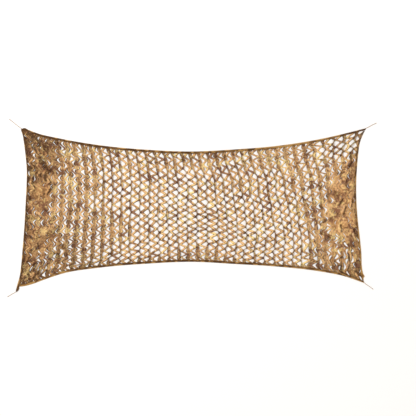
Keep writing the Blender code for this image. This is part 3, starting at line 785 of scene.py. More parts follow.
def flat_cloth():
    """Flat places of the strands' points, then of the bands'."""
    joint = STRAND + (STRAND + BAND) * np.arange(PAIRS)
    starts = np.concatenate([[0], joint + BAND])
    stops = np.concatenate([joint, [joint[-1] + BAND + STRAND]])
    sides = (
        (starts[:, None] + BOW_RIGHT, stops[:, None] - BOW_LEFT, 3),
        (joint[:, None] - BOW_LEFT, joint[:, None] + BAND + BOW_RIGHT, 4),
    )
    for low, high, count in sides:
        share = np.arange(count) / (count - 1)
        across = low[..., None] + (high - low)[..., None] * share
        yield np.stack(np.broadcast_arrays(across, ROW_AT[None, :, None]), -1)


FLAT_STRANDS, FLAT_BANDS = flat_cloth()
print("the flat cloth ends at", FLAT_STRANDS[-1, -1, -1].round(3))

# %% [markdown]
# Soft light hardly shows folds this small, and a finish can't see them. So the shade of cut edges, joints,
# curls and gathers is worked out here, where their places are known, and kept on the points. Above 0 the
# cloth looks darker, below 0 paler.

# %% Shade of edges, joints and tongues
BUNCHED_SHADE = (0.39, 0.20)  # painted shade of cloth that isn't pulled open and lies bunched, at the left and right end
SLIT_SHADE = (1.4, 0.8)  # of a shut slit's edge, at most, at the left and right end
SLIT_LIGHT = 0.5  # of the cloth beside it, which catches the light
SLIT_BESIDE = 0.6  # share of its shade on the edge of the next strand
TIP_SHADE, TIP_LEAST = (2.1, 1.4), 0.4  # of a left tongue that stands up a little, at the left and right end
RIM_SHADE, RIM_LEAST = (1.7, 1.2), 0.5  # of a right tongue that has drawn back a little
INNER_SHADE, INNER_CURL = 0.2, 0.4  # shares of these and of a curl's shade that reach the tongue's root
CURL_SHADE = (1.25, 0.55)  # of the edges of left and right tongues that are curled up
CURL_LEAST, CURL_MORE = 0.3, 1.2
CORE_SHADE = 0.34  # of a band between its curled tongues
CUT_SHADE = 0.16
JOINT_SHADE, JOINT_POWER = 1.5, 12
LEG_SHADE, LEG_LIGHT = 0.65, 0.35  # of a strand's two edges where one faces the lamp
MIDDLE_LIGHT = 0.5 * LEG_LIGHT


def net_shade():
    """Shade of the strands' points and of the bands'."""
    own = each_tongue(0, 1)
    bulges = (BOW_LEFT, BOW_RIGHT)
    shut = 1 - LIFTED
    end = (LINES > COLUMNS / 2).astype(int)
    pairs = (BUNCHED_SHADE, SLIT_SHADE, TIP_SHADE, RIM_SHADE)
    shade_where_bunched, slit_shade, tip_shade, rim_shade = (np.array(pair)[end][:, None] for pair in pairs)
    left_slit, right_slit = (slit_shade * share**2 * shut * (bulge > 0) for share, bulge in zip(own, bulges))
    tip = tip_shade * (TIP_LEAST + own[0]) * LITTLE_OPEN * BOW_LEFT / BOW
    rim = rim_shade * (RIM_LEAST + own[1]) * LITTLE_OPEN * BOW_RIGHT / BOW
    left_curl, right_curl = (
        most * CURLED * (CURL_LEAST + CURL_MORE * share) * bulge / BOW
        for most, share, bulge in zip(CURL_SHADE, own, bulges)
    )
    core = CORE_SHADE * CURLED
    bands = [
        left_slit + tip + core + left_curl,
        INNER_SHADE * tip + core + INNER_CURL * left_curl - SLIT_LIGHT * left_slit,
        core + INNER_SHADE * rim - SLIT_LIGHT * right_slit,
        right_slit + rim + core + right_curl,
    ]
    cut = STRAND_OPEN * (CUT_SHADE + JOINT_SHADE * np.abs(SWING) ** JOINT_POWER)
    lit = STRAND_OPEN * RISING  # legs whose right edge faces away from the lamp
    before, after = np.concatenate([right_slit[:1], right_slit]), np.concatenate([left_slit, left_slit[-1:]])
    strands = [
        cut + SLIT_BESIDE * before - LEG_LIGHT * lit,
        -MIDDLE_LIGHT * lit,
        cut + SLIT_BESIDE * after + LEG_SHADE * lit,
    ]
    # painted shade where the cloth lies bunched, and where it is gathered into folds
    shade_where_bunched = shade_where_bunched * shut + gathered(BANDS[:, :, 1, :2])[0]
    strand_shade_where_bunched = np.concatenate([shade_where_bunched[:1], shade_where_bunched])
    return np.stack(strands, -1) + strand_shade_where_bunched[..., None], np.stack(bands, -1) + shade_where_bunched[..., None]


STRAND_SHADE, BAND_SHADE = net_shade()
print("shade of the bands from", BAND_SHADE.min().round(2), "to", BAND_SHADE.max().round(2))

# %% [markdown]
# Now the points become one mesh. A single Catmull-Clark step rounds the strands, the curled tongues and the
# ends of the slits. It is applied at once, so that what follows can move the finer points too.

# %% The net as one mesh


def net_mesh():
    """The strands and bands, with the points that they share at the joints."""
    numbers = np.arange(STRANDS[..., 0].size).reshape(STRANDS.shape[:3])
    band_numbers = np.arange(BANDS[..., 0].size).reshape(BANDS.shape[:3]) + numbers.size
    joined = band_numbers.copy()
    joined[:, EVEN_BRIDGES, 0] = numbers[:-1, EVEN_BRIDGES, 2]
    joined[:, ODD_BRIDGES, 3] = numbers[1:, ODD_BRIDGES, 0]
    points = np.concatenate([STRANDS.reshape(-1, 3), BANDS.reshape(-1, 3)])
    met = joined != band_numbers
    points[joined[met]] = (points[joined[met]] + points[band_numbers[met]]) / 2
    flats = np.concatenate([FLAT_STRANDS.reshape(-1, 2), FLAT_BANDS.reshape(-1, 2)])
    marks = {
        "shade": np.concatenate([STRAND_SHADE.ravel(), BAND_SHADE.ravel()]),
        "opened": np.concatenate([np.repeat(STRAND_OPEN, 3), np.repeat(OPEN, 4)]),
    }
    faces = []
    for ids in (numbers, joined):
        quads = [ids[:, :-1, :-1], ids[:, :-1, 1:], ids[:, 1:, 1:], ids[:, 1:, :-1]]
        faces.append(np.stack(quads, -1).reshape(-1, 4))
    used, faces = np.unique(np.concatenate(faces), return_inverse=True)
    marks = {mark: values[used] for mark, values in marks.items()}
    return add_mesh("net_cloth", points[used], faces.reshape(-1, 4), flats[used], **marks)


def subdivided(made):
    """The object with one Catmull-Clark step applied."""
    modifier = made.modifiers.new("rounding", "SUBSURF")
    modifier.levels = modifier.render_levels = 1
    graph = bpy.context.evaluated_depsgraph_get()
    finer = bpy.data.meshes.new_from_object(made.evaluated_get(graph), depsgraph=graph)
    made.modifiers.clear()
    coarse, made.data = made.data, finer
    bpy.data.meshes.remove(coarse)
    return made


NET = subdivided(net_mesh())
print(len(NET.data.polygons) * 2, "triangles in the net")

# %% [markdown]
# The closed ends carry the netting's main creases. A cloth solver would put them where it likes, so each is
# listed as a soft ridge with its own height and width. The flank that faces away from the lamp is
# marked darker. Finer still are small waves, which run over the flat cloth and so across the slits.

# %% Creases
CREASES = (  # x1, y1, x2, y2, height, half width, all in cm
    (-146, 58, -140, 51, 0.8, 1.0), (-139, 46, -132, 35, 1.0, 1.6), (-133, 35, -133, 27, 0.7, 1.0),
    (-150, 70, -143, 63, 0.7, 1.2), (-143, 68, -136, 63, 0.6, 0.9), (-128, 44, -129, 41, 0.5, 0.8),
    (-127, 38, -130, 34, 0.6, 0.8), (-121, 62, -117, 60, 0.5, 0.8), (-114, 38, -115, 34, 0.5, 0.8),
    (-131, 15, -127, 21, 0.6, 0.9), (-125, 24, -123, 21, 0.5, 0.7), (-149, 14, -147, 9, 0.5, 0.9),
    (-144, 30, -145, 24, 0.4, 0.8), (-133, 0, -130, -4, 0.6, 0.7), (-141, -3, -138, -5, 0.5, 0.7),
    (-145, -12, -142, -15, 0.5, 0.8), (-150, -8, -149, -18, 0.6, 1.0), (-146, -23, -143, -26, 0.5, 0.8),
    (-138, -29, -136, -31, 0.5, 0.7), (-150, -48, -147, -42, 0.6, 0.7), (-144, -49, -138, -46, 0.8, 0.9),
    (-147, -56, -144, -53, 0.6, 0.8), (-142, -58, -144, -62, 0.8, 0.9), (-133, -48, -131, -50, 0.6, 0.8),
    (-133, -52, -134, -56, 0.6, 0.7), (-149, -58, -147, -65, 0.8, 0.9), (144, 49, 145, 43, 0.7, 0.9),
    (145, 43, 142, 38, 0.7, 0.9), (139, 39, 143, 42, 0.5, 0.8), (148, 50, 151, 55, 0.6, 0.8),
    (147, 58, 150, 60, 0.5, 0.7), (123, 12, 124, 7, 0.5, 0.7), (134, 5, 137, 10, 0.6, 0.8),
    (138, -3, 140, 3, 0.6, 0.8), (146, 8, 145, 3, 0.6, 0.8), (136, -20, 135, -14, 0.6, 1.0),
    (147, -18, 149, -25, 0.6, 0.9), (145, -38, 146, -42, 0.6, 0.8), (142, -40, 143, -46, 0.8, 0.9),
    (130, -44, 130, -48, 0.6, 0.7), (132, -49, 135, -54, 0.8, 0.9), (142, -53, 143, -50, 0.6, 0.8),
    (137, -56, 141, -58, 0.6, 0.7), (149, -56, 153, -61, 0.7, 1.0),
)
print(len(CREASES), "creases placed by hand")

# %% Creasing the net
FLANK_SHADE, FLANK_LIGHT = 0.9, 0.4
AWAY_FROM_LAMP = (1.0, -1.0)
HEM_SHADE, HEM_SHADE_OVER = 0.48, 0.025  # of the cloth along the tapes, and how far in it fades
RIPPLES = 18
RIPPLE_HEIGHT = 0.00045
RIPPLE_LENGTHS = (0.012, 0.060)
RIPPLE_SWAY = 3  # radians by which a wave runs early or late
RIPPLE_SWAYS = 7  # radians a metre at which that changes
FLOOR_GAP = 0.0004


def read(mesh, mark, size=1):
    """A mark's numbers, or its vectors of some size, on a mesh's points."""
    values = np.zeros(len(mesh.vertices) * size, np.float32)
    mesh.attributes[mark].data.foreach_get("value" if size == 1 else "vector", values)
    return np.squeeze(values.reshape(-1, size).astype(float))


def main_creases(places):
    """The creases' height at each place, and how far it faces away from the lamp."""
    height, shade = np.zeros(len(places)), np.zeros(len(places))
    for x1, y1, x2, y2, rise, half_width in np.array(CREASES) * CM:
        run = np.array([x2 - x1, y2 - y1])
        length = np.hypot(*run)
        aside = np.array([run[1], -run[0]]) / length
        aside *= np.sign(aside @ AWAY_FROM_LAMP)
        from_start = places - (x1, y1)
        past = np.clip(np.abs(from_start @ run / length - length / 2) - length / 2, 0, None)
        off = from_start @ aside / half_width
        near = np.exp(-((past / half_width) ** 2))
        height = np.maximum(height, rise * near * np.exp(-(off**2)))
        shade += near * (FLANK_SHADE * np.exp(-((off - 1) ** 2)) - FLANK_LIGHT * np.exp(-((off + 1) ** 2)))
    return height, shade


def crease(made):
    """Gives the net its waves and creases, with their shade, and returns its points."""
    mesh = made.data
    at, flat = read(mesh, "position", 3), read(mesh, "flat_place", 3)[:, :2]
    closed = 1 - read(mesh, "opened")
    height = np.zeros(len(at))
    for _ in range(RIPPLES):
        angle, length, phase = rng.uniform(0, np.pi), rng.uniform(*RIPPLE_LENGTHS), rng.uniform(0, 2 * np.pi)
        run = flat @ np.array([np.cos(angle), np.sin(angle)])
        sway = RIPPLE_SWAY * np.sin(run * RIPPLE_SWAYS + phase)
        height += RIPPLE_HEIGHT * np.sin(run / length * 2 * np.pi + phase + sway)
    ridge, flank = main_creases(at[:, :2])
    height += ridge * closed
    from_hem = edge_distance(at[:, :2]) - HEM_INSET
    at[:, 2] = np.maximum(at[:, 2] + height * np.clip(from_hem / HEM_BLEND, 0, 1), FLOOR_GAP)
    shade = read(mesh, "shade") + flank * closed
    shade += HEM_SHADE * np.exp(-np.clip(from_hem, 0, None) / HEM_SHADE_OVER)
    write(mesh, "position", at)
    write(mesh, "shade", np.clip(shade, -1, 1))
    mesh.update()
    return at


HEIGHTS = crease(NET)[:, 2]
print("cloth between", (HEIGHTS.min() / MM).round(1), "and", (HEIGHTS.max() / MM).round(1), "mm")

# %% [markdown]
# ## The bindings
# A strip of the same cloth is folded over each edge of the net and sewn through. A curve with a bevel object
# could follow the edge, but its section would be the same all along. Here sections are worked out one by one
# and joined. Each tape gets a round fold, a lip that is pressed down along its seam, and edges that waver as
# sewn cloth does. The left one's lower end is gathered into a small tube.

# %% A tape's section
TAPE = 0.0010  # thickness of one layer
SEAT = 0.0003  # gap to the next piece
TAPE_HEIGHT = 0.0046
TUBE_HEIGHT = 0.0110
FOLD = 0.0025  # how deep the slot for the net stops inside the outer edge
FOLD_RADIUS = 0.0026
FOLD_SIDES = 6
SEAM_IN, SEAM_SHARE = 0.0045, 0.35  # of the stitching, from the inner edge; at most this share of the width
SEAM_DIP = 0.0006
GROOVE = (0.0016, 0.0014)  # half widths of the groove that the stitches press
CROWN, CROWN_AT = 0.0001, 0.35  # swell of the upper face, and where it is highest, as a share of the width
LIP = ((0.0003, 0.0002), (0.0, 0.0005))  # in from the inner edge, and down from the upper face
SOLE = ((0.0, 0.0004), (0.0004, 0.0))  # in from the inner edge, and up from the surface
SLOT_BACK = 0.0001  # how far the slot's mouth stands back from the inner edge
TUBE_SLOT = (0.8, 0.2, 0.2, 0.8)  # share of the tube's radius at which the slot's corners end up
TUBE_WRINKLE, TUBE_WRINKLES = 0.07, 5  # depth as a share of its radius, and how many go round it


def seam_distance(width):
    """How far a tape's seam lies inside its inner edge."""
    return np.minimum(SEAM_IN, SEAM_SHARE * width)


def tape_profile(width, height, plump):
    """A folded tape's section as distance from its outer edge and height, flat or gathered."""
    fold = np.linspace(-np.pi / 2, np.pi / 2, FOLD_SIDES + 1)
    radius = min(height / 2, FOLD_RADIUS)
    outer = [(radius * (1 - math.cos(a)), height / 2 * (1 + math.sin(a))) for a in fold]
    seam = width - seam_distance(width)
    upper = [
        (CROWN_AT * width, height + CROWN),
        (seam - GROOVE[0], height - CROWN),
        (seam, height - SEAM_DIP),
        (seam + GROOVE[1], height - CROWN),
        *((width - inside, height - down) for inside, down in LIP),
    ]
    mouth = width - SLOT_BACK
    slot = [(mouth, height - TAPE), (FOLD, height - TAPE), (FOLD, TAPE), (mouth, TAPE)]
    lower = [*((width - inside, up) for inside, up in SOLE), (width / 2, 0.0)]
    flat = np.array(outer + upper + slot + lower)
    angle = np.concatenate([
        fold,
        np.linspace(np.pi / 2, np.pi, len(upper) + 2)[1:-1],
        np.full(len(slot), np.pi),
        np.linspace(np.pi, 3 * np.pi / 2, len(lower) + 2)[1:-1],
    ])
    size = np.array([1.0] * len(outer + upper) + [*TUBE_SLOT] + [1.0] * len(lower))
    size *= 1 + TUBE_WRINKLE * np.sin(TUBE_WRINKLES * angle)
    tube = np.stack([width / 2 * (1 - size * np.cos(angle)), height / 2 * (1 + size * np.sin(angle))], -1)
    return flat * (1 - plump) + tube * plump


print(len(tape_profile(0.02, TAPE_HEIGHT, 0)), "points in a tape's section")

# %% Sizes of the bindings
TOP_SECTIONS = ((0.00, 0.022, 0.0, 0.0), (0.02, 0.020, 0.0, 0.0), (1.00, 0.020, 0.0, 0.0))
BOTTOM_SECTIONS = ((0.00, 0.022, 0.0, 0.0), (0.04, 0.020, 0.0, 0.0), (1.00, 0.020, 0.0, 0.0))
LEFT_SECTIONS = (  # along, width, proud, plump
    (0.000, 0.014, 0.0, 1.0), (0.008, 0.024, 0.0, 1.0), (0.020, 0.026, 0.0, 1.0),
    (0.027, 0.023, 0.0, 0.0), (0.050, 0.021, 0.0, 0.0), (0.110, 0.013, 0.0, 0.0),
    (0.960, 0.013, 0.0, 0.0), (1.000, 0.018, 0.0, 0.0),
)
RIGHT_SECTIONS = (
    (0.000, 0.012, 0.000, 0.0), (0.018, 0.014, 0.004, 0.0), (0.032, 0.020, 0.019, 0.0),
    (0.044, 0.018, 0.007, 0.0), (0.066, 0.014, 0.003, 0.0), (0.100, 0.012, 0.000, 0.0),
    (1.000, 0.012, 0.000, 0.0),
)
BINDINGS = (  # node, edge, sections, how far its ends stop inside the neighbouring edges
    ("top_binding", "top", TOP_SECTIONS, {"left": 0.0185 + SEAT}),
    ("bottom_binding", "bottom", BOTTOM_SECTIONS, {"left": 0.0235 + SEAT}),
    ("left_binding", "left", LEFT_SECTIONS, {"bottom": -0.041, "top": 0.0015}),
    ("right_binding", "right", RIGHT_SECTIONS, {"bottom": 0.020 + SEAT, "top": 0.020 + SEAT}),
)
LEVEL_EDGES = ("top", "bottom")
PAINTED_TAPE_SHADE = {  # place along each edge, and how much painted shade darkens the tape there; below 0 it is painted paler than most
    "top": (
        (-1.55, 0.9), (-1.20, 0.8), (-0.70, 0.4), (0.00, 0.2),
        (0.50, 0.0), (0.90, -0.7), (1.30, -0.4), (1.50, 0.6),
    ),
    "bottom": ((-1.50, -0.6), (-1.00, 0.2), (-0.50, 0.5), (0.50, 0.4), (1.00, 0.0), (1.55, -0.2)),
    "left": ((-0.70, 0.4), (0.00, 0.6), (0.70, 0.8)),
    "right": ((-0.66, -0.3), (-0.40, -0.9), (-0.20, -0.6), (0.10, 0.2), (0.40, 0.3), (0.70, 0.9)),
}
print("bindings:", [edge for _, edge, _, _ in BINDINGS])

# %% The bindings' meshes
TAPE_STEP = 0.007
SIDE_LENGTH = 1.2  # of a side, as a share of the median height
WAVER, WAVER_EVERY = 0.0009, 4  # of the inner edge, changing over that many steps
SEAM_PUCKER, PUCKER_EVERY = 0.0003, 1.5


def smooth_noise(rng, count, every, size):
    """Random values along a line, one at each of count steps, that change over about every steps."""
    return between(rng.uniform(-size, size, int(count / every) + 3), np.arange(count) / every)


def lay_binding(edge, sections, ends):
    """Outer and inner line of a tape, its widths and how plump it is, at many places along it."""
    rows, widths, prouds, plumps = (np.array(column) for column in zip(*sections))
    length = MEDIAN_WIDTH if edge in LEVEL_EDGES else MEDIAN_HEIGHT * SIDE_LENGTH
    at = np.unique(np.concatenate([np.linspace(0, 1, int(length / TAPE_STEP)), rows]))
    width, proud, plump = (np.interp(at, rows, column) for column in (widths, prouds, plumps))
    far_side = float(edge in ("top", "right"))
    across_up = (at, far_side) if edge in LEVEL_EDGES else (far_side, at)
    outer, inner = (place(*across_up, **ends, **{edge: inset}) for inset in (-proud, width))
    return outer, inner, width + proud, plump


def make_binding(node, edge, sections, ends):
    """A tape, as one section after another along its edge."""
    outer, inner, width, plump = lay_binding(edge, sections, ends)
    count = len(outer)
    inward, length = unit(inner - outer), run_lengths(outer)
    waver = smooth_noise(rng, count, WAVER_EVERY, WAVER) * (1 - plump)
    pucker = smooth_noise(rng, count, PUCKER_EVERY, SEAM_PUCKER)
    points, flats = [], []
    for i in range(count):
        height = TAPE_HEIGHT + plump[i] * (TUBE_HEIGHT - TAPE_HEIGHT)
        profile = tape_profile(width[i], height, plump[i])
        share = np.clip(profile[:, 0] / width[i], 0, 1)
        distance = profile[:, 0] + waver[i] * share**2
        z = profile[:, 1] + pucker[i] * np.sin(np.pi * share) * (profile[:, 1] > height / 2)
        points.append(np.column_stack([outer[i] + inward[i] * distance[:, None], np.maximum(z, 0)]))
        flats.append(np.column_stack([np.full(len(profile), length[i]), run_lengths(profile)]))
    sides = len(points[0])
    soil = np.interp(outer[:, 0 if edge in LEVEL_EDGES else 1], *zip(*PAINTED_TAPE_SHADE[edge]))
    points, flats = np.concatenate(points), np.concatenate(flats)
    made = add_mesh(node + "_tape", points, tube_faces(count, sides), flats, soil=np.repeat(soil, sides))
    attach(made, BODY)
    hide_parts(node)
    return made


TAPES = [make_binding(*row) for row in BINDINGS]
print([len(made.data.polygons) for made in TAPES], "faces in the tapes")

# %% [markdown]
# ## The stitching
# One seam runs along every tape. There are far too many stitches to make by hand, so one small arched stitch
# is worked out once and laid down along each seam, all of them in one mesh.

# %% Stitches
STITCH_LENGTH = 0.0040
STITCH_EVERY = 0.0058
THREAD_RADIUS = 0.00035
THREAD_SIDES = 5
STITCH_SHAPE = ((-0.5, -0.0004), (-0.3, 0.0002), (0.3, 0.0002), (0.5, -0.0004))  # along, height
STITCH_LIFT = 0.0003  # of a stitch's line above the groove
STITCH_TILT = 0.12  # of its direction, at random


def stitch_places(edge, sections, ends):
    """Middle and direction of every stitch of a tape."""
    outer, inner, width, plump = lay_binding(edge, sections, ends)
    seam = outer + unit(inner - outer) * (width - seam_distance(width))[:, None]
    seam = seam[plump == 0]
    length = run_lengths(seam)
    at = np.arange(STITCH_EVERY, length[-1] - STITCH_EVERY, STITCH_EVERY)
    middle, ahead = (
        np.stack([np.interp(at + step, length, line) for line in seam.T], -1) for step in (0, STITCH_LENGTH)
    )
    return middle, unit(ahead - middle)


def make_stitches():
    """The stitches of all tapes, in one mesh."""
    around = np.arange(THREAD_SIDES) / THREAD_SIDES * 2 * np.pi
    one = tube_faces(len(STITCH_SHAPE), THREAD_SIDES)
    size = len(STITCH_SHAPE) * THREAD_SIDES
    points, faces, total = [], [], 0
    for _, edge, sections, ends in BINDINGS:
        middle, run = stitch_places(edge, sections, ends)
        side = np.stack([-run[:, 1], run[:, 0]], -1)
        tilt = rng.normal(0, STITCH_TILT, (len(run), 1))
        run, side = run + side * tilt, side - run * tilt
        rings = np.zeros((len(run), len(STITCH_SHAPE), THREAD_SIDES, 3))
        for k, (share, rise) in enumerate(STITCH_SHAPE):
            spine = middle + run * share * STITCH_LENGTH
            rings[:, k, :, :2] = spine[:, None] + side[:, None] * THREAD_RADIUS * np.cos(around)[:, None]
            rings[:, k, :, 2] = TAPE_HEIGHT - SEAM_DIP + STITCH_LIFT + rise + THREAD_RADIUS * np.sin(around)
        firsts = total + np.arange(len(run)) * size
        faces.append((firsts[:, None, None] + one).reshape(-1, 4))
        points.append(rings.reshape(-1, 3))
        total += len(run) * size
    return add_mesh("stitching", np.concatenate(points), np.concatenate(faces))


STITCHING = make_stitches()
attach(STITCHING, BODY)
print(len(STITCHING.data.polygons) // (THREAD_SIDES * 3), "stitches")

# %% The net joins the part
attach(NET, BODY)
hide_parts("net_panel")

# %% [markdown]
# ## Writing finishes
# A finish is a small program made of nodes. Written with node calls alone it is hard to read, so one class
# wraps a socket: sums and products of wires add the Math nodes, and every other node comes from one method.

# %% A class for shader nodes


class Wire:
    """A socket of a shader. Arithmetic on wires adds Math nodes."""

    def __init__(self, tree, socket=None):
        self.tree, self.socket = tree, socket

    def node(self, kind, settings=None, sockets=None, output=0):
        """Adds a node: its settings first, then its sockets' values or wires."""
        made = self.tree.nodes.new(kind)
        for name, value in (settings or {}).items():
            setattr(made, name, value)
        for name, value in (sockets or {}).items():
            if isinstance(value, Wire):
                self.tree.links.new(value.socket, made.inputs[name])
            else:
                made.inputs[name].default_value = value
        return Wire(self.tree, made.outputs[output])

    def math(self, operation, *values, clamp=False):
        settings = {"operation": operation, "use_clamp": clamp}
        return self.node("ShaderNodeMath", settings, dict(enumerate(values)))

    def __add__(self, other):
        return self.math("ADD", self, other)

    __radd__ = __add__

    def __sub__(self, other):
        return self.math("SUBTRACT", self, other)

    def __rsub__(self, other):
        return self.math("SUBTRACT", other, self)

    def __mul__(self, other):
        return self.math("MULTIPLY", self, other)

    __rmul__ = __mul__

    def __truediv__(self, other):
        return self.math("DIVIDE", self, other)

    def __rtruediv__(self, other):
        return self.math("DIVIDE", other, self)

    def clamped(self):
        return self.math("ADD", self, 0.0, clamp=True)

    def over(self, edge, softness):
        """0 below an edge and 1 above it, with a soft step."""
        return ((self - edge) / softness + 0.5).clamped()

    def mixed(self, low, high, blend="MIX"):
        """A colour from low to high by this wire, from 0 to 1."""
        settings = {"data_type": "RGBA", "blend_type": blend}
        return self.node("ShaderNodeMix", settings, {0: self, 6: low, 7: high}, output=2)

    def noise(self, scale, detail=3.0, roughness=0.5):
        """A noise read at this wire's place."""
        sockets = {"Vector": self, "Scale": scale, "Detail": detail, "Roughness": roughness}
        return self.node("ShaderNodeTexNoise", {"normalize": True}, sockets)

    def blotched(self, scale, edge, softness, low, high, **kind):
        """A colour with blotches of another one, where a noise goes over an edge."""
        return self.noise(scale, **kind).over(edge, softness).mixed(low, high)

    def part(self, axis):
        """One part of a place."""
        return self.node("ShaderNodeSeparateXYZ", None, {0: self}, output=axis)

    def moved(self, offset):
        """A place moved by an offset."""
        return self.node("ShaderNodeVectorMath", {"operation": "ADD"}, {0: self, 1: offset})

    def mark(self, name, output="Fac"):
        """A mark that the mesh keeps on its points."""
        return self.node("ShaderNodeAttribute", {"attribute_name": name}, output=output)

    def bump(self, strength, distance):
        """The normal of a surface whose height is this wire."""
        return self.node("ShaderNodeBump", None, {"Strength": strength, "Distance": distance, "Height": self})


print("a wire has", [name for name in vars(Wire) if name[0] != "_"])

# %% Colours and materials


def linear(red, green, blue):
    """A colour given as 0 to 255 on a screen, as the light that a shader works with."""
    share = np.array([red, green, blue]) / 255
    light = np.where(share <= 0.04045, share / 12.92, ((share + 0.055) / 1.055) ** 2.4)
    return (*light.tolist(), 1.0)


def finish(name, paint=None, **values):
    """A new material: values that are the same all over, and the wires that paint makes for the others."""
    made = bpy.data.materials.new(name)
    made.use_nodes = True
    tree = made.node_tree
    shader = tree.nodes["Principled BSDF"]
    for socket, value in values.items():
        shader.inputs[socket.replace("_", " ")].default_value = value
    for socket, wire in (paint(Wire(tree)) if paint else {}).items():
        tree.links.new(wire.socket, shader.inputs[socket])
    return made


print("ochre is", [round(value, 3) for value in linear(222, 180, 110)])

# %% [markdown]
# ## The printed cloth
# The print is a common camouflage: rounded blotches of ochre, brown and purple-brown that lie over one
# another on a mid brown ground. An image would have to be drawn and would repeat. Noise makes such blotches
# anywhere, when it is cut off at a level. Each layer has its own noise, bent by a finer one so that the
# edges curl. It is read on the flat cloth, so the slits cut through it as they do through a real print.

# %% Camouflage print
GROUND = linear(204, 151, 98)
OCHRE = linear(238, 198, 130)
LIGHT_BROWN = linear(223, 172, 118)
PURPLE_BROWN = linear(142, 98, 70)
DARK_BROWN = linear(120, 82, 48)
BLOTCHES = (  # offset, scale and detail of the noise, where its edge is and how soft, and the colour
    ((0.0, 0.0, 0.0), 9, 4.0, 0.52, 0.08, LIGHT_BROWN),
    ((3.1, 7.7, 0.0), 9, 4.0, 0.57, 0.06, OCHRE),
    ((8.3, 2.2, 0.0), 9, 4.0, 0.55, 0.07, PURPLE_BROWN),
    ((5.5, 4.1, 0.0), 16, 4.0, 0.60, 0.08, DARK_BROWN),
    ((1.7, 6.4, 0.0), 38, 3.0, 0.61, 0.08, OCHRE),
    ((6.6, 0.9, 0.0), 38, 3.0, 0.62, 0.08, PURPLE_BROWN),
)
BLOTCH_ROUGHNESS = 0.6
WOBBLE, WOBBLE_SCALE, WOBBLE_DETAIL = 0.025, 22.0, 4.0


def camouflage(cloth):
    """The print's colour at a place on the flat cloth."""
    sockets = {"Vector": cloth, "Scale": WOBBLE_SCALE, "Detail": WOBBLE_DETAIL}
    wobble = cloth.node("ShaderNodeTexNoise", {"normalize": False}, sockets, "Color")
    wobble = wobble.node("ShaderNodeVectorMath", {"operation": "SCALE"}, {0: wobble, "Scale": WOBBLE})
    colour = GROUND
    for offset, scale, detail, edge, softness, tone in BLOTCHES:
        kind = {"detail": detail, "roughness": BLOTCH_ROUGHNESS}
        colour = cloth.moved(wobble).moved(offset).blotched(scale, edge, softness, colour, tone, **kind)
    return colour


print(len(BLOTCHES), "layers of blotches")

# %% [markdown]
# The net's cloth is a plain weave, too fine to model: two sets of waves, multiplied, make its threads as
# bump. The shade kept on the points darkens the print or lets it catch the light. Cloth pulled open is thin
# and looks paler. In closed cloth, small dents and broad folds are added as shade alone.

# %% Weave, and the net's finish
CLOTH_THREAD = 0.0010  # width of a thread and its gap
WAVE_PERIOD = 0.314  # of Blender's wave bands at scale 1
WAVE_DISTORTION = 0.4
FIBRE, FIBRE_SCALE = 0.6, 300
WEAVE_DEPTH = 0.0003
NET_WEAVE, TAPE_WEAVE = 0.35, 0.4  # strength of the bump
CLOTH_SPECULAR = 0.10
CREASE_SHADE = linear(50, 28, 16)
CREASE_LIGHT = linear(244, 212, 164)
DARKEST = 0.9
PULLED_LIGHT = (1.21, 1.36, 1.52, 1.0)  # how much paler thin cloth pulled open looks
BAND_LINE = 0.005  # half width of the line where a band's tongues part
LINE_SWING = 0.008  # by which it goes into each tongue
LINE_SHADE = 0.85
CRUMPLE, CRUMPLE_SCALE = 1.2, 75  # shade of small dents
FOLDS, FOLDS_SCALE, FOLDS_FROM = 1.1, 13, (2.9, 5.3, 0.0)  # shade of broad folds
UNEVEN, UNEVEN_MORE, UNEVEN_SCALE = 0.3, 1.4, 60  # least and range of how strongly shade shows


def weave(cloth, strength):
    """The normal of a plain weave."""
    sockets = {"Vector": cloth, "Scale": WAVE_PERIOD / CLOTH_THREAD, "Distortion": WAVE_DISTORTION}
    warp, weft = (cloth.node("ShaderNodeTexWave", {"bands_direction": axis}, sockets, 1) for axis in "XY")
    height = warp * weft + FIBRE * cloth.noise(FIBRE_SCALE)
    return height.bump(strength, WEAVE_DEPTH)


def band_line(cloth):
    """1 on the line that winds down each band from tongue to tongue, and 0 away from it."""
    swing = cloth.part("Y").math("PINGPONG", cloth.part("Y"), PITCH / 2) / (PITCH / 4) - 1
    across = cloth.part("X") - (STRAND + BAND / 2) + LINE_SWING * swing
    return (1 - across.math("PINGPONG", across, (STRAND + BAND) / 2) / BAND_LINE).clamped()


def net_paint(start):
    """The net's print, darker in its shade, and its weave."""
    cloth, shade, opened = start.mark("flat_place", "Vector"), start.mark("shade"), start.mark("opened")
    lifted, curled = (opened - TILT_FROM) / TILT_OVER, (opened - CURL_FROM) / CURL_OVER
    line = LINE_SHADE * band_line(cloth) * (lifted.clamped() * (1 - curled.clamped()))
    dents = CRUMPLE * (cloth.noise(CRUMPLE_SCALE, detail=2.0) - 0.5)
    folds = FOLDS * (cloth.moved(FOLDS_FROM).noise(FOLDS_SCALE, detail=1.0) - 0.5)
    crumple = (dents + folds) * (1 - opened)
    uneven = UNEVEN + UNEVEN_MORE * cloth.noise(UNEVEN_SCALE)
    dark, light = ((shade + line + crumple) * uneven).clamped(), (-1 * (shade + crumple)).clamped()
    colour = opened.mixed(camouflage(cloth), PULLED_LIGHT, "MULTIPLY")
    colour = (DARKEST * dark).mixed(light.mixed(colour, CREASE_LIGHT), CREASE_SHADE)
    return {"Base Color": colour, "Normal": weave(cloth, NET_WEAVE)}


NET_CLOTH = finish("printed_net_cloth", net_paint, Roughness=0.85, Specular_IOR_Level=CLOTH_SPECULAR)
NET.data.materials.append(NET_CLOTH)
print("net cloth:", len(NET_CLOTH.node_tree.nodes), "nodes")
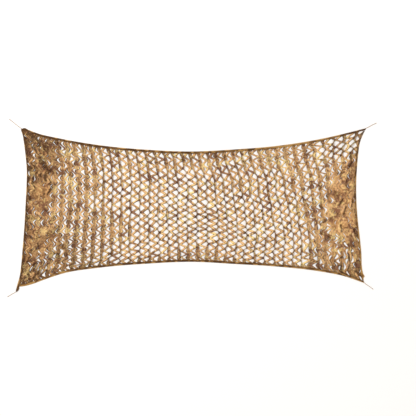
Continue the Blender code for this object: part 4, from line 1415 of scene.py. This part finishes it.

# %% [markdown]
# The tapes are cut from the same cloth, but they are folded double and sewn flat. So they look darker, with
# patches of brown and ochre along their length. Painted shade darkens them more in some places along their
# length and less in others, and their outer half is painted paler ochre, as if lit. The cords and the thread
# are spun, not woven: a mottled colour does for them, with fine fibres as bump on the cords.

# %% Binding cloth, thread and cord
TAPE_DARK = linear(84, 56, 30)
TAPE_BROWN = linear(118, 84, 48)
TAPE_OCHRE = linear(170, 130, 74)
CORD_TAN = linear(172, 126, 56)
CORD_GREY = linear(122, 88, 42)
THREAD = linear(78, 54, 34)
FIBRE_BUMP = {"strength": 0.5, "distance": 0.0002}
# strength of the painted shade along a tape
PAINTED_TAPE_SHADE_STRENGTH = 0.12
OUTER_HALF_LIGHT = 0.05  # painted light and shade: how much more ochre shows on a tape's outer half, as if lit, than on its inner one
OUTER_LIGHT_AT, OUTER_LIGHT_OVER = 0.016, 0.008  # where round the section one half turns into the other
OCHRE_PATCHES_FROM = (4.2, 1.3, 0.0)
BROWN_PATCHES, OCHRE_PATCHES = (14, (0.50, 0.08)), (12, (0.54, 0.06))  # noise scale; edge and softness
TAPE_STRETCH = (1.0, 2.5, 1.0)  # the patches are long along a tape
CORD_MOTTLE, THREAD_MOTTLE = (60, 0.5, 0.3), (40, 0.5, 0.3)  # noise scale, edge and softness
CORD_FIBRES = 900


def tape_paint(start):
    """Brown and ochre patches, darker where painted shade lies along the tape, paler ochre on its outer half
    as painted light, and the weave.
    """
    cloth, soil = start.mark("flat_place", "Vector"), start.mark("soil")
    wide = cloth.node("ShaderNodeVectorMath", {"operation": "MULTIPLY"}, {0: cloth, 1: TAPE_STRETCH})
    scale, edge = BROWN_PATCHES
    # painted shade along the tape turns more of its brown patches dark
    colour = (wide.noise(scale) - PAINTED_TAPE_SHADE_STRENGTH * soil).over(*edge).mixed(TAPE_DARK, TAPE_BROWN)
    scale, edge = OCHRE_PATCHES
    # painted light and shade: the tape's outer half is painted paler ochre, as if lit, and its inner half
    # darker
    outer = 1 - 2 * cloth.part("Y").over(OUTER_LIGHT_AT, OUTER_LIGHT_OVER)
    ochre_patches_light_and_shade = wide.moved(OCHRE_PATCHES_FROM).noise(scale) + OUTER_HALF_LIGHT * outer - PAINTED_TAPE_SHADE_STRENGTH * soil
    return {"Base Color": ochre_patches_light_and_shade.over(*edge).mixed(colour, TAPE_OCHRE), "Normal": weave(cloth, TAPE_WEAVE)}


def cord_paint(start):
    """Tan with grey mottles, and fine fibres."""
    cord = start.mark("flat_place", "Vector")
    fibres = cord.noise(CORD_FIBRES).bump(**FIBRE_BUMP)
    return {"Base Color": cord.blotched(*CORD_MOTTLE, CORD_GREY, CORD_TAN), "Normal": fibres}


def thread_paint(start):
    """Dark thread, paler in places."""
    where = start.node("ShaderNodeNewGeometry", output="Position")
    return {"Base Color": where.blotched(*THREAD_MOTTLE, THREAD, TAPE_BROWN, detail=2.0)}


FINISHES = (
    (TAPES, finish("folded_tape_cloth", tape_paint, Roughness=0.88, Specular_IOR_Level=CLOTH_SPECULAR)),
    (TIES, finish("twisted_cord", cord_paint, Roughness=0.9)),
    ([STITCHING], finish("sewing_thread", thread_paint, Roughness=0.7)),
)
for pieces, made in FINISHES:
    for piece in pieces:
        piece.data.materials.append(made)
print("finishes:", [made.name for made in bpy.data.materials if made.users])

# %% [markdown]
# ## Floor and light
# The netting lies on a plain pale floor in even light. A sun lamp would cut hard shadows. Here the light
# comes mostly from all round, so the cloth's colours read true, and a wide soft lamp from the upper left
# gives the lifted tongues a lit and a dark side.

# %% Floor, world and lamp
FLOOR_SIZE = 30.0
FLOOR_COLOUR = (0.945, 0.915, 0.885, 1.0)
SKY_STRENGTH = 0.85
LAMP_AT = (-4.5, 5.25, 9.0)
LAMP_SIZE = 6.0
LAMP_POWER = 600.0


def make_floor():
    half = FLOOR_SIZE / 2
    corners = [(-half, -half, 0), (half, -half, 0), (half, half, 0), (-half, half, 0)]
    floor = add_mesh("floor", corners, [(0, 1, 2, 3)])
    floor.data.materials.append(finish("pale_floor", Roughness=0.9, Base_Color=FLOOR_COLOUR))
    return floor


def light_the_scene():
    scene = bpy.context.scene
    scene.world = bpy.data.worlds.new("soft_sky")
    scene.world.use_nodes = True
    sky = scene.world.node_tree.nodes["Background"]
    sky.inputs["Color"].default_value = (1.0, 1.0, 1.0, 1.0)
    sky.inputs["Strength"].default_value = SKY_STRENGTH
    lamp = bpy.data.objects.new("lamp", bpy.data.lights.new("lamp", "AREA"))
    lamp.data.shape, lamp.data.size, lamp.data.energy = "DISK", LAMP_SIZE, LAMP_POWER
    lamp.location = LAMP_AT
    lamp.rotation_euler = (-lamp.location).to_track_quat("-Z", "Y").to_euler()
    scene.collection.objects.link(lamp)
    scene.view_settings.view_transform = "Standard"


make_floor()
light_the_scene()
print("lights:", [made.name for made in bpy.data.lights])

# %% [markdown]
# The dressed part may stand only a little out of the plain model's box.
